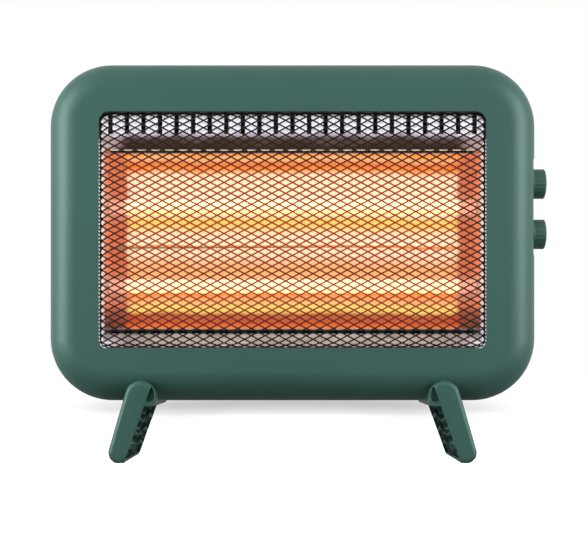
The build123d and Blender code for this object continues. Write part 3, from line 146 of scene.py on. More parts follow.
def cut_box(piece, centre, size):
    """Cuts a block-shaped recess of this size out of a piece."""
    cutter = start("cutter", bpy.ops.mesh.primitive_cube_add, size=1, location=centre, scale=size)
    modify(piece, "BOOLEAN", operation="DIFFERENCE", object=cutter)
    pick(cutter)
    bpy.ops.object.delete()


def turn_profile(piece, steps, radius, centre):
    """Draws a round face out along X, one step at a time, to each place and radius of a profile."""
    place = centre.x
    for next_place, next_radius in steps:
        bpy.ops.mesh.extrude_region_move(TRANSFORM_OT_translate={"value": (next_place - place, 0, 0)})
        grow = next_radius / radius
        bpy.ops.transform.resize(value=(1, grow, grow), center_override=(next_place, centre.y, centre.z))
        place, radius = next_place, next_radius


def merged_copy(node, name):
    """Copies a CAD node as a new piece whose loose triangles are merged."""
    pick(frame["nodes"][node])
    bpy.ops.object.duplicate()
    piece = bpy.context.active_object
    piece.name = name
    piece.data.name = name
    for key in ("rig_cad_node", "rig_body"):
        del piece[key]
    choose_all(piece)
    bpy.ops.mesh.remove_doubles(threshold=0.001 * MM)
    return piece


def settle(piece, body, finish, stands_for=(), sharp=32):
    """Finishes a piece: smooth shading but for edges above the sharp angle in degrees, material, the
    body it rides on and the nodes it stands for."""
    pick(piece)
    bpy.ops.object.transform_apply(location=True, rotation=True, scale=True)
    bpy.ops.object.shade_smooth_by_angle(angle=math.radians(sharp))
    piece.data.materials.clear()
    piece.data.materials.append(finish)
    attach(piece, body)
    if stands_for:
        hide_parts(*stands_for)
    return piece


# Small tools for materials

def linear(code):
    """Turns an sRGB hex colour into the linear colour that the shaders take."""
    channels = [int(code[i:i + 2], 16) / 255 for i in (1, 3, 5)]
    return tuple(c / 12.92 if c <= 0.04045 else ((c + 0.055) / 1.055) ** 2.4 for c in channels)


def tint(colour, factor=1.0):
    """A linear colour with its alpha of 1, made lighter or darker by a factor."""
    return (*(min(c * factor, 1.0) for c in colour), 1.0)


def shade(code):
    """A hex colour as a linear colour with its alpha of 1."""
    return tint(linear(code))


def feed(tree, made, feeds):
    """Fills a node's sockets with values, or links other nodes' outputs to them."""
    for socket, value in feeds.items():
        if isinstance(value, bpy.types.NodeSocket):
            tree.links.new(value, made.inputs[socket])
        else:
            made.inputs[socket].default_value = value


def node(tree, kind, feeds=None, **settings):
    """Adds a node, sets its options, and fills its sockets with values or with other nodes' outputs."""
    made = tree.nodes.new(kind)
    for option, value in settings.items():
        setattr(made, option, value)
    feed(tree, made, feeds or {})
    return made


def blank_material(name):
    """A new material with a Principled shader, its output, and the object's own coordinates."""
    material = bpy.data.materials.new(name)
    material.use_nodes = True
    tree = material.node_tree
    tree.nodes.clear()
    shader = node(tree, "ShaderNodeBsdfPrincipled")
    node(tree, "ShaderNodeOutputMaterial", {"Surface": shader.outputs["BSDF"]})
    place = node(tree, "ShaderNodeTexCoord").outputs["Object"]
    return material, tree, shader, place


def axes(tree, place):
    """The coordinates of a place, by the names X, Y and Z."""
    return node(tree, "ShaderNodeSeparateXYZ", {"Vector": place}).outputs


def scaled(tree, place, x, y=1.0, z=1.0):
    """A place with its coordinates scaled; a factor below 1 draws a pattern out along that axis."""
    return node(tree, "ShaderNodeMapping", {"Vector": place, "Scale": (x, y, z)}).outputs["Vector"]


def noise(tree, place, size, detail=2.0):
    """A cloudy pattern from 0 to 1, with features of about this size."""
    made = node(tree, "ShaderNodeTexNoise", {"Vector": place, "Scale": 1 / size, "Detail": detail})
    return made.outputs["Fac"]


def span(tree, value, low, high, first=0.0, last=1.0, **settings):
    """Goes from first to last while a value goes from low to high, and stays level beyond."""
    made = node(tree, "ShaderNodeMapRange", {
        "Value": value, "From Min": low, "From Max": high, "To Min": first, "To Max": last,
    }, **settings)
    return made.outputs["Result"]


def reckon(tree, operation, first, second=0.0):
    """One step of arithmetic with values or other nodes' outputs."""
    return node(tree, "ShaderNodeMath", {0: first, 1: second}, operation=operation).outputs[0]


def ramp(tree, share, stops):
    """Colours along a share from 0 to 1, from stops that pair a place with a linear colour."""
    made = node(tree, "ShaderNodeValToRGB", {"Fac": share})
    band = made.color_ramp
    while len(band.elements) > 1:
        band.elements.remove(band.elements[-1])
    band.elements[0].position, band.elements[0].color = stops[0]
    for place, colour in stops[1:]:
        band.elements.new(place).color = colour
    return made.outputs["Color"]


def relief(tree, pattern, strength, depth):
    """Bumps that follow a pattern, as deep as the real ones."""
    made = node(tree, "ShaderNodeBump", {"Height": pattern, "Strength": strength, "Distance": depth})
    return made.outputs["Normal"]


def level_bands(tree, height, stops):
    """Colours in level bands: each stop is a height in mm above the body's middle, and a hex colour."""
    low, high = stops[0][0], stops[-1][0]
    share = span(tree, height, MIDDLE_Z + low * MM, MIDDLE_Z + high * MM)
    return ramp(tree, share, [((rise - low) / (high - low), shade(code)) for rise, code in stops])


def beside_middle(tree, x, inner, outer):
    """0 near the middle of the window and 1 further out to either side; its soft edge lies between
    these two distances in mm."""
    away = reckon(tree, "ABSOLUTE", reckon(tree, "SUBTRACT", x, MIDDLE_X))
    return span(tree, away, inner * MM, outer * MM, interpolation_type="SMOOTHSTEP")


def blend_colours(tree, share, first, second):
    """Mixes two colours by a share; its colour sockets are the seventh and eighth, its result the third."""
    return node(tree, "ShaderNodeMix", {0: share, 6: first, 7: second}, data_type="RGBA").outputs[2]


def who_sees(tree):
    """Two shares: 1 for what the camera sees itself, and 1 for what shows in mirrors or through glass."""
    path = node(tree, "ShaderNodeLightPath").outputs
    return path["Is Camera Ray"], reckon(
        tree, "MAXIMUM", path["Is Glossy Ray"], path["Is Transmission Ray"])


# Colours of the painted glow of the heat, from the hottest to the dullest

WHITE_HEAT = "#FAF1CC"
CREAM_HEAT = "#FAF4CA"
YELLOW_HEAT = "#FADD6F"
PEACH_HEAT = "#FAB170"
ORANGE_HEAT = "#FA8606"
SALMON_HEAT = "#EF6624"
EMBER_HEAT = "#B23414"
DIM_SALMON = "#DA6E48"
RED_EDGE = "#741402"
UNLIT = "#000000"


# Finishes, named for what the real ones are

def grain_finish(name, colour, rough, grain, depth, mottle, drift=0.07, **sockets):
    """A surface with fine grain: a colour that drifts a little over its mottle size, uneven gloss, and
    a bump of its grain size and depth."""
    material, tree, shader, place = blank_material(name)
    uneven = 0.05
    fine = noise(tree, place, grain, 4.0)
    feed(tree, shader, {
        "Base Color": ramp(tree, noise(tree, place, mottle, 3.0), [
            (0.3, tint(colour, 1 - drift)), (0.5, tint(colour)), (0.7, tint(colour, 1 + drift))]),
        "Roughness": span(tree, fine, 0.0, 1.0, rough - uneven, rough + uneven),
        "Normal": relief(tree, fine, 0.5, depth),
        **{socket.replace("_", " "): value for socket, value in sockets.items()},
    })
    return material


def moulded_abs(name, colour):
    """Green ABS, injection moulded in a fine spark-eroded tool: a satin surface with a soft edge to
    its highlights. The real grain of 0.15 mm is too fine to show, so it is drawn at 0.9 mm."""
    return grain_finish(
        name, colour, rough=0.47, grain=0.9 * MM, depth=0.05 * MM, mottle=90 * MM, drift=0.05,
        Specular_IOR_Level=0.48, Specular_Tint=(0.75, 1.0, 0.96, 1.0))


def enamelled_net():
    """Mild steel net in matt heat-proof black: it looks black on the pale sheet. Where the troughs glow
    behind it, their light wrapping round its thin strands is painted on them as a glow by height, dull red
    to orange."""
    material, tree, shader, place = blank_material("black_enamel_net")
    at = axes(tree, place)
    # Painted glow: the troughs' light on the strands, given by height and faded out towards the ends
    hot = level_bands(tree, at["Z"], [
        (-78, UNLIT), (-75.5, RED_EDGE), (-67, RED_EDGE), (-63, "#A02802"), (-44, "#B44010"),
        (-34, "#7A1802"), (-18, "#B42C02"), (44, "#B43002"), (52, RED_EDGE), (63, UNLIT),
    ])
    dull = level_bands(tree, at["Z"], [
        (-76, UNLIT), (-50, "#380E04"), (55, "#380E04"), (63, UNLIT),
    ])
    glow = blend_colours(tree, beside_middle(tree, at["X"], 127, 135), hot, dull)
    feed(tree, shader, {
        "Base Color": ramp(tree, noise(tree, place, 0.8 * MM, 3.0), [
            (0.3, shade("#0A0806")), (0.7, shade("#181410"))]),
        "Roughness": 0.5,
        "Specular IOR Level": 0.15,
        "Emission Color": blend_colours(
            tree, beside_middle(tree, at["X"], 146, 150), glow, shade(UNLIT)),
        "Emission Strength": 0.9,
    })
    return material


def rolled_bright_steel():
    """Bright rolled aluminium-coated steel of the troughs. The tubes' reflections are painted on it as a
    glow: soft level bands between white, yellow and peach, that waver a little with the sheet's unevenness,
    and salmon beyond the ends of the glowing coils. The bands are given by height, as seen from the front,
    and don't follow the tubes. In front of the troughs, where the tubes don't reach, the end sheets are
    plain white, brightened by a grey painted light. Faint rolling lines run along its length."""
    material, tree, shader, place = blank_material("bright_rolled_steel")
    at = axes(tree, place)
    lines = noise(tree, scaled(tree, place, 0.02), 1.6 * MM, 3.0)
    steel = ramp(tree, lines, [(0.3, shade("#665F57")), (0.7, shade("#7C756C"))])
    along = noise(tree, scaled(tree, place, 1.0, 0.0, 0.0), 70 * MM)
    waver = 2 * MM
    height = reckon(tree, "ADD", at["Z"], span(tree, along, 0.3, 0.7, -waver, waver))
    # Painted reflection of the tubes, in level bands
    hot = level_bands(tree, height, [
        (-76, SALMON_HEAT), (-71, EMBER_HEAT), (-64.5, EMBER_HEAT), (-61, YELLOW_HEAT), (-57, YELLOW_HEAT),
        (-52, PEACH_HEAT), (-47, ORANGE_HEAT), (-34, PEACH_HEAT), (-24, PEACH_HEAT), (-13, CREAM_HEAT),
        (-8.8, CREAM_HEAT), (-7.6, ORANGE_HEAT), (-6.6, ORANGE_HEAT), (-5.6, CREAM_HEAT), (3, CREAM_HEAT),
        (12, YELLOW_HEAT), (17, YELLOW_HEAT), (22, WHITE_HEAT), (53, CREAM_HEAT), (58, ORANGE_HEAT),
        (62, SALMON_HEAT), (65, PEACH_HEAT), (67, ORANGE_HEAT),
    ])
    cool = level_bands(tree, at["Z"], [
        (-78, "#4A2018"), (-62, "#8A4030"), (-56, DIM_SALMON), (-42, "#B88878"), (-28, DIM_SALMON),
        (12, DIM_SALMON), (26, "#CC8C78"), (40, DIM_SALMON),
    ])
    glow = blend_colours(tree, beside_middle(tree, at["X"], 137, 143), hot, cool)
    front_y, lit_y = -18 * MM, -17 * MM
    inside = span(tree, at["Y"], front_y, lit_y)
    feed(tree, shader, {
        "Base Color": blend_colours(tree, inside, shade("#D8DCE2"), steel),
        "Metallic": inside,
        "Roughness": span(tree, lines, 0.0, 1.0, 0.26, 0.38),
        # Painted light: grey in front of the troughs, and the tubes' painted reflection behind
        "Emission Color": blend_colours(tree, inside, shade("#8A8C94"), glow),
        "Emission Strength": 0.87,
    })
    return material


def satin_ledge_steel():
    """The same sheet where the tubes don't light it, on the ledge in front of the lower trough and on the
    outer side of the troughs: a satin bluish grey, warmed by the glow beside it, with short cloudy patches
    from rolling. A painted highlight makes the ledge's two lower corners bright where they catch the light."""
    material, tree, shader, place = blank_material("satin_rolled_steel")
    at = axes(tree, place)
    patches = noise(tree, scaled(tree, place, 0.35), 9 * MM, 4.0)
    # Painted highlight on the ledge's two lower corners
    near_sill = span(tree, at["Z"], MIDDLE_Z - 84 * MM, MIDDLE_Z - 89 * MM)
    corners = reckon(tree, "MULTIPLY", beside_middle(tree, at["X"], 133, 149), near_sill)
    feed(tree, shader, {
        "Base Color": ramp(tree, patches, [
            (0.3, shade("#96A0AC")), (0.5, shade("#AAB4C0")), (0.7, shade("#C0CAD6"))]),
        "Metallic": 0.4,
        "Roughness": span(tree, patches, 0.0, 1.0, 0.36, 0.5),
        "Emission Color": shade("#A8A6AC"),
        "Emission Strength": corners,
    })
    return material


def baked_enamel():
    """Steel sheet with sprayed and baked white enamel: a satin, slightly cold white. Painted shade turns it
    grey at the bend and dark brown on the underside over the tubes, less so towards the ends. Its bare hem
    is painted a light cream, a painted highlight where it catches the light."""
    material, tree, shader, place = blank_material("baked_white_enamel")
    at = axes(tree, place)
    drift, less_shade_by = 1.6 * MM, 13 * MM
    cloud = noise(tree, place, 22 * MM, 3.0)
    wavy = reckon(tree, "ADD", at["Z"], span(tree, cloud, 0.3, 0.7, -drift, drift))
    less_shade_at_ends = reckon(tree, "MULTIPLY", beside_middle(tree, at["X"], 128, 155), less_shade_by)
    # Painted shade in level bands: grey at the bend, dark brown underneath, lighter towards the ends
    enamel = level_bands(tree, reckon(tree, "ADD", wavy, less_shade_at_ends), [
        (70, "#3A1E20"), (72, "#42282C"), (74.4, "#70646C"), (76.1, "#A49CA8"), (78.5, "#D2CED8"),
        (81.5, "#E6E2EC"), (90, "#F0EEF4"),
    ])
    # The hem's light cream is a painted highlight
    hem_front_y, hem_back_y = -17.2 * MM, -16.6 * MM
    hem = span(tree, at["Y"], hem_front_y, hem_back_y)
    feed(tree, shader, {
        "Base Color": blend_colours(tree, hem, enamel, shade("#E8DCC8")),
        "Roughness": 0.5,
        "Specular IOR Level": 0.06,
        "Normal": relief(tree, noise(tree, place, 1.5 * MM), 0.4, 0.04 * MM),
    })
    return material


def window_wall(half_pitch):
    """White enamel on the side walls of the window, dotted with the painted shadows of the net's strands,
    and black on the wall over the vents and on the sill."""
    material, tree, shader, place = blank_material("window_wall_enamel")
    at = axes(tree, place)
    # Painted shadows of the net's strands, in bands up the wall
    dots = node(tree, "ShaderNodeTexWave", {
        "Vector": place, "Scale": math.tau / (20 * half_pitch)}, bands_direction="Z")
    strands = ramp(tree, dots.outputs["Fac"], [(0.35, shade("#1C1A1A")), (0.6, shade("#E8E8EE"))])
    over_vents = span(tree, at["Z"], MIDDLE_Z + 70 * MM, MIDDLE_Z + 74 * MM)
    on_sill = span(tree, at["Z"], MIDDLE_Z - 92.4 * MM, MIDDLE_Z - 93 * MM)
    dark = reckon(tree, "MAXIMUM", over_vents, on_sill)
    feed(tree, shader, {
        "Base Color": blend_colours(tree, dark, strands, shade("#161210")),
        "Roughness": span(tree, noise(tree, place, 1.5 * MM), 0.0, 1.0, 0.4, 0.55),
    })
    return material


def glowing_quartz():
    """Fused quartz tube, drawn and slightly milky, lit from inside. That light is painted on it as a glow
    by height: white along its upper side and orange along its lower edge, and greyish pink beyond the ends
    of the coil."""
    material, tree, shader, place = blank_material("fused_quartz")
    at = axes(tree, place)
    veil = noise(tree, scaled(tree, place, 0.1), 3 * MM)
    # Painted glow of the tube, in level bands
    hot = level_bands(tree, at["Z"], [
        (-47.2, "#FFB060"), (-46, "#FFD8A0"), (-44.5, WHITE_HEAT), (-37, WHITE_HEAT),
        (-35.5, "#FFC0A8"), (18.8, YELLOW_HEAT), (20.5, YELLOW_HEAT), (22.5, WHITE_HEAT), (31, CREAM_HEAT),
    ])
    feed(tree, shader, {
        "Base Color": shade("#FFF8EC"),
        "Roughness": span(tree, veil, 0.0, 1.0, 0.05, 0.15),
        "Transmission Weight": 0.85,
        "IOR": 1.46,
        "Emission Color": blend_colours(
            tree, beside_middle(tree, at["X"], 136, 141), hot, shade("#B87868")),
        "Emission Strength": 0.33,
    })
    return material


def glowing_wire():
    """Iron-chromium wire at full heat: yellow-white, with its oxide skin a little darker in spots."""
    material, tree, shader, place = blank_material("hot_resistance_wire")
    feed(tree, shader, {
        "Base Color": shade("#6A5A50"),
        "Roughness": 0.6,
        "Emission Color": ramp(tree, noise(tree, place, 1.5 * MM), [
            (0.3, shade("#FFC878")), (0.6, shade("#FFE6A8"))]),
        "Emission Strength": 0.6,
    })
    return material


def white_light(tree, strength):
    """Plain white light that a surface gives off itself."""
    made = node(tree, "ShaderNodeEmission", {"Color": shade("#FFFFFF"), "Strength": strength})
    return made.outputs["Emission"]


def distance(tree, place, middle):
    """How far a place lies from a middle."""
    made = node(tree, "ShaderNodeVectorMath", {0: place, 1: middle}, operation="DISTANCE")
    return made.outputs["Value"]


def pale_paper():
    """Seamless studio paper. The camera sees it white where the low lamp reaches it and grey in the
    heater's shadow, under a veil of painted light that is weakest behind the heater. Mirrors see it white
    too, with painted shade that darkens it close to the heater, and it sends a weak even light back up."""
    material, tree, shader, place = blank_material("pale_paper")
    feed(tree, shader, {"Base Color": shade("#A0A0A0"), "Roughness": 0.9, "Specular IOR Level": 0.0})
    # The veil of painted light is weakest behind the heater, and this much narrower than it is deep
    narrow, veil_middle_y, veil_near, veil_far = 3.0, 0.4, 1.2, 2.4
    mirror_near, mirror_far, sent_up = 0.1, 0.9, 0.22
    squeezed = node(tree, "ShaderNodeVectorMath", {0: place, 1: (narrow, 1.0, 1.0)}, operation="MULTIPLY")
    away = distance(tree, squeezed.outputs["Vector"], (narrow * MIDDLE_X, veil_middle_y, 0.0))
    veil = white_light(tree, span(tree, away, veil_near, veil_far, 0.34, 1.0))
    seen = node(tree, "ShaderNodeAddShader", {0: shader.outputs["BSDF"], 1: veil})
    # Painted shade in mirrors, darkest under the heater
    under = distance(tree, place, (MIDDLE_X, 0.0, 0.0))
    mirrored = white_light(tree, span(tree, under, mirror_near, mirror_far, 0.25, 1.0))
    camera, sharp = who_sees(tree)
    others = node(tree, "ShaderNodeMixShader", {
        0: sharp, 1: white_light(tree, sent_up), 2: mirrored})
    every = node(tree, "ShaderNodeMixShader", {0: camera, 1: others.outputs[0], 2: seen.outputs[0]})
    output = next(each for each in tree.nodes if each.type == "OUTPUT_MATERIAL")
    feed(tree, output, {"Surface": every.outputs[0]})
    return material


FINISH = {}


# Sizes and colours that a user would change

class StageSettings(PropertyGroup):
    """The studio: floor, lamps and camera."""

    key_power: FloatProperty(
        name="Key lamp", description="Power of the large lamp in front and above", default=1.5, min=0.0)
    left_power: FloatProperty(
        name="Left lamp", description="Power of the strip lamp on the left", default=31.0, min=0.0)
    right_power: FloatProperty(
        name="Right lamp", description="Power of the strip lamp on the right", default=25.0, min=0.0)
    fill_power: FloatProperty(
        name="Fill lamp", description="Power of the lamp that lights only the sheets in the window",
        default=88.0, min=0.0)
    low_power: FloatProperty(
        name="Low lamp", description="Power of the low lamp that whitens the floor",
        default=2800.0, min=0.0)
    room_light: FloatProperty(
        name="Room light", description="Strength of the even light all round", default=0.27, min=0.0)
    camera_distance: FloatProperty(
        name="Camera distance", description="From the camera to the middle of the heater",
        default=1.18, unit="LENGTH")
    camera_height: FloatProperty(
        name="Camera height", description="Height of the camera above the floor",
        default=0.0815, unit="LENGTH")
    lens: FloatProperty(name="Lens", description="Focal length in millimetres", default=87.18)


class GuardSettings(PropertyGroup):
    """The fine net of the guard."""

    pitch_long: FloatProperty(
        name="Long pitch", description="Width of one diamond of the net",
        default=10.71 * MM, unit="LENGTH")
    pitch_short: FloatProperty(
        name="Short pitch", description="Height of one diamond of the net",
        default=5.78 * MM, unit="LENGTH")
    strand: FloatProperty(
        name="Strand width", description="Width of one strand of the net", default=1.15 * MM, unit="LENGTH")
    sheet: FloatProperty(
        name="Sheet", description="Thickness of the sheet that the net is cut from",
        default=0.7 * MM, unit="LENGTH")
    roll_side: FloatProperty(
        name="Roll at the sides", description="Width over which the net rolls back at its sides",
        default=6.3 * MM, unit="LENGTH")
    roll_top: FloatProperty(
        name="Roll at top and bottom", description="Height over which the net rolls back",
        default=4.0 * MM, unit="LENGTH")


class CoilSettings(PropertyGroup):
    """The heating coils in the tubes."""

    turns: IntProperty(name="Turns", description="Turns of each coil", default=120, min=1)
    radius: FloatProperty(name="Radius", description="Radius of the coil", default=3.7 * MM, unit="LENGTH")
    wire: FloatProperty(name="Wire", description="Diameter of the wire", default=0.7 * MM, unit="LENGTH")
    glowing_length: FloatProperty(
        name="Glowing length", description="Length of the coil that glows", default=0.278, unit="LENGTH")


class ShellSettings(PropertyGroup):
    """Colours of the moulded parts."""

    green: FloatVectorProperty(
        name="Green", description="Colour of the moulded shell and feet", subtype="COLOR",
        default=linear("#2C4F47"), min=0.0, max=1.0)
    # A darker copy of the shell's green: painted shade on the knobs
    knob_shaded_green: FloatVectorProperty(
        name="Knob green", description="Darker colour of the knobs", subtype="COLOR",
        default=linear("#213F38"), min=0.0, max=1.0)


class KnobSettings(PropertyGroup):
    """Shape of the two knobs."""

    flutes: IntProperty(name="Flutes", description="Shallow flutes round each knob", default=24, min=3)
    radius: FloatProperty(name="Radius", description="Radius of the cap", default=12.0 * MM, unit="LENGTH")
    skirt: FloatProperty(name="Skirt", description="Height of the skirt", default=2.4 * MM, unit="LENGTH")
    dome: FloatProperty(name="Dome", description="How far the end bulges", default=1.3 * MM, unit="LENGTH")
    flute_depth: FloatProperty(
        name="Flute depth", description="Depth of a flute", default=0.4 * MM, unit="LENGTH")


# Operators, one for each piece or group of like pieces

class HEATER_OT_finishes(Operator):
    """Make every finish once, by its slot in the record, or by its own name where a slot has several"""

    bl_idname = "heater.finishes"
    bl_label = "Finishes"

    def execute(self, context):
        colours = context.scene.heater_shell
        FINISH.update({
            "green_plastic": moulded_abs("moulded_abs_green", tuple(colours.green)),
            # The knobs take the darker green, a painted shade
            "knob": moulded_abs("moulded_abs_knob", tuple(colours.knob_shaded_green)),
            "black_mesh": enamelled_net(),
            "white_enamel": baked_enamel(),
            "bright_steel": rolled_bright_steel(),
            "ledge_steel": satin_ledge_steel(),
            "window_wall": window_wall(context.scene.heater_guard.pitch_short / 2),
            "quartz": glowing_quartz(),
            "heating_wire": glowing_wire(),
            # Unglazed steatite, pressed and fired: a dry cream white with fine pores.
            "ceramic": grain_finish(
                "fired_steatite", linear("#E9E2D2"), rough=0.6, grain=0.8 * MM, depth=0.08 * MM,
                mottle=8 * MM),
            # Zinc plated and passivated steel: a cool grey with a soft metallic bloom.
            "zinc_steel": grain_finish(
                "zinc_plated_steel", linear("#A9ADB2"), rough=0.34, grain=1.2 * MM, depth=0.03 * MM,
                mottle=12 * MM, Metallic=1.0),
            # Glass-filled nylon, moulded black: matt, with a slight flow pattern.
            "black_plastic": grain_finish(
                "moulded_nylon_black", linear("#1C1C1D"), rough=0.5, grain=0.8 * MM, depth=0.06 * MM,
                mottle=20 * MM, drift=0.25),
            # Moulded white nylon of the insulating parts: waxy and slightly warm.
            "white_plastic": grain_finish(
                "moulded_nylon_white", linear("#E4E1D8"), rough=0.42, grain=0.8 * MM, depth=0.05 * MM,
                mottle=15 * MM, drift=0.05),
            # Turned brass, bare: yellow with darker patches where it was handled.
            "brass": grain_finish(
                "turned_brass", linear("#C2A062"), rough=0.3, grain=0.6 * MM, depth=0.03 * MM,
                mottle=6 * MM, drift=0.2, Metallic=1.0),
        })
        return {"FINISHED"}


class HEATER_OT_stage(Operator):
    """Make the camera, the lamps, the white room and the pale floor"""

    bl_idname = "heater.stage"
    bl_label = "Studio"

    def execute(self, context):
        scene = context.scene
        stage = scene.heater_stage
        scene.view_settings.view_transform = "Standard"
        self.camera(scene, stage)
        self.room(scene, stage.room_light)
        paper_size, paper_shift, below = 8, 1, 0.2 * MM
        floor = start("floor", bpy.ops.mesh.primitive_plane_add, size=paper_size,
                      location=(0, paper_shift, -below))
        floor.data.materials.append(pale_paper())
        heater = Vector((MIDDLE_X, 0, MIDDLE_Z))
        low_z = 0.1125
        # Name, place, aim, width and height in metres, power, and whether glossy finishes mirror it
        lamps = {name: self.lamp(scene, name, *rest) for name, *rest in (
            ("key", (-0.1, -2.6, 0.4), heater, (1.6, 1.0), stage.key_power, False),
            ("strip_left", (-1.17, -0.5, 0.32), heater, (0.7, 1.5), stage.left_power, True),
            ("strip_right", (1.14, -0.6, 0.32), heater, (0.7, 1.5), stage.right_power, True),
            ("low", (MIDDLE_X, -1.5, low_z), Vector((MIDDLE_X, 0, low_z)), (0.3, 0.075),
             stage.low_power, False),
            ("fill", (0.1, -2.6, 0.5), heater, (1.2, 1.0), stage.fill_power, False),
        )}
        self.light_only(lamps["low"], floor)
        self.light_only(lamps["fill"], *(scene.objects[name] for name in (
            "vent_sheet", "guard_edge", "lower_ledge", "end_sheet_left", "end_sheet_right")))
        return {"FINISHED"}

    def camera(self, scene, stage):
        """Looks straight at the front; the lens is shifted, so that upright lines stay upright."""
        data = bpy.data.cameras.new("camera")
        camera = bpy.data.objects.new("camera", data)
        scene.collection.objects.link(camera)
        camera.location = (MIDDLE_X, -stage.camera_distance, stage.camera_height)
        camera.rotation_euler = (math.radians(90), 0, 0)
        data.lens = stage.lens
        image_width, horizon_drop, centre_shift = 588, 80.5, 1.5
        data.shift_y = horizon_drop / image_width
        data.shift_x = centre_shift / image_width
        data.clip_start = 0.05
        scene.camera = camera

    def light_only(self, lamp, *lit):
        """Makes a lamp light only these objects; every object still throws its shadow in it."""
        receivers = bpy.data.collections.new(f"lit_by_{lamp.name}")
        for each in lit:
            receivers.objects.link(each)
        lamp.light_linking.receiver_collection = receivers

    def lamp(self, scene, name, where, towards, size, power, in_gloss):
        """Adds a rectangular softbox that faces a place."""
        data = bpy.data.lights.new(name, "AREA")
        data.shape = "RECTANGLE"
        data.size, data.size_y = size
        data.energy = power
        lamp = bpy.data.objects.new(name, data)
        scene.collection.objects.link(lamp)
        lamp.location = where
        lamp.rotation_euler = (towards - Vector(where)).to_track_quat("-Z", "Y").to_euler()
        lamp.visible_camera = False
        lamp.visible_glossy = in_gloss
        return lamp

    def room(self, scene, strength):
        """An even grey room that cameras, mirrors and glass see as plain white."""
        world = bpy.data.worlds.new("room")
        scene.world = world
        world.use_nodes = True
        tree = world.node_tree
        tree.nodes.clear()
        level = span(tree, reckon(tree, "MAXIMUM", *who_sees(tree)), 0.0, 1.0, strength, 1.0)
        light = node(tree, "ShaderNodeBackground", {"Color": shade("#FFFFFF"), "Strength": level})
        node(tree, "ShaderNodeOutputWorld", {"Surface": light.outputs["Background"]})


class HEATER_OT_shell(Operator):
    """Make the smooth moulded shell: front frame and rear cover"""

    bl_idname = "heater.shell"
    bl_label = "Moulded shell"

    def execute(self, context):
        for cad, name in (("front_frame", "front_shell"), ("rear_cover", "back_shell")):
            piece = merged_copy(cad, name)
            settle(piece, "housing", FINISH["green_plastic"], (cad,))
            modify(piece, "WEIGHTED_NORMAL", keep_sharp=True)
        return {"FINISHED"}


def quarter_ellipse(a, b):
    """About the length of a quarter of an ellipse with these half axes."""
    return math.pi / 2 * math.sqrt((a * a + b * b) / 2)


def rolled(flat, half, roll, arc, depth):
    """Where a point of the flat net comes to, and how far back, once the net's edge is rolled."""
    beyond = abs(flat) - (half - roll)
    if beyond <= 0:
        return flat, 0.0
    turn = min(beyond / arc, 1.0) * math.pi / 2
    return math.copysign(half - roll + roll * math.sin(turn), flat), depth * (1 - math.cos(turn))


def window_ring(name, half_x, half_z, corner, width, front_y, depth):
    """A ring with round corners that lines the window's wall: half its outer width and height, the
    radius of its corners, its own width, where its front lies, and its depth."""
    ring = start(name, bpy.ops.mesh.primitive_plane_add, size=1, rotation=(math.radians(90), 0, 0))
    choose_all(ring)
    bpy.ops.transform.resize(value=(2 * half_x, 1, 2 * half_z))
    choose(ring, "VERT", lambda point: True)
    bpy.ops.mesh.bevel(offset=corner, segments=8, affect="VERTICES")
    choose_all(ring)
    bpy.ops.mesh.extrude_region_move(TRANSFORM_OT_translate={"value": (0, depth, 0)})
    choose(ring, "FACE", lambda face: abs(face.normal.y) > 0.9)
    bpy.ops.mesh.inset(thickness=width)
    bpy.ops.mesh.delete(type="FACE")
    choose(ring, "EDGE", lambda edge: edge.is_boundary)
    bpy.ops.mesh.bridge_edge_loops()
    choose_all(ring)
    bpy.ops.transform.translate(value=(MIDDLE_X, front_y, WINDOW_Z))
    bpy.ops.mesh.normals_make_consistent(inside=False)
    return ring


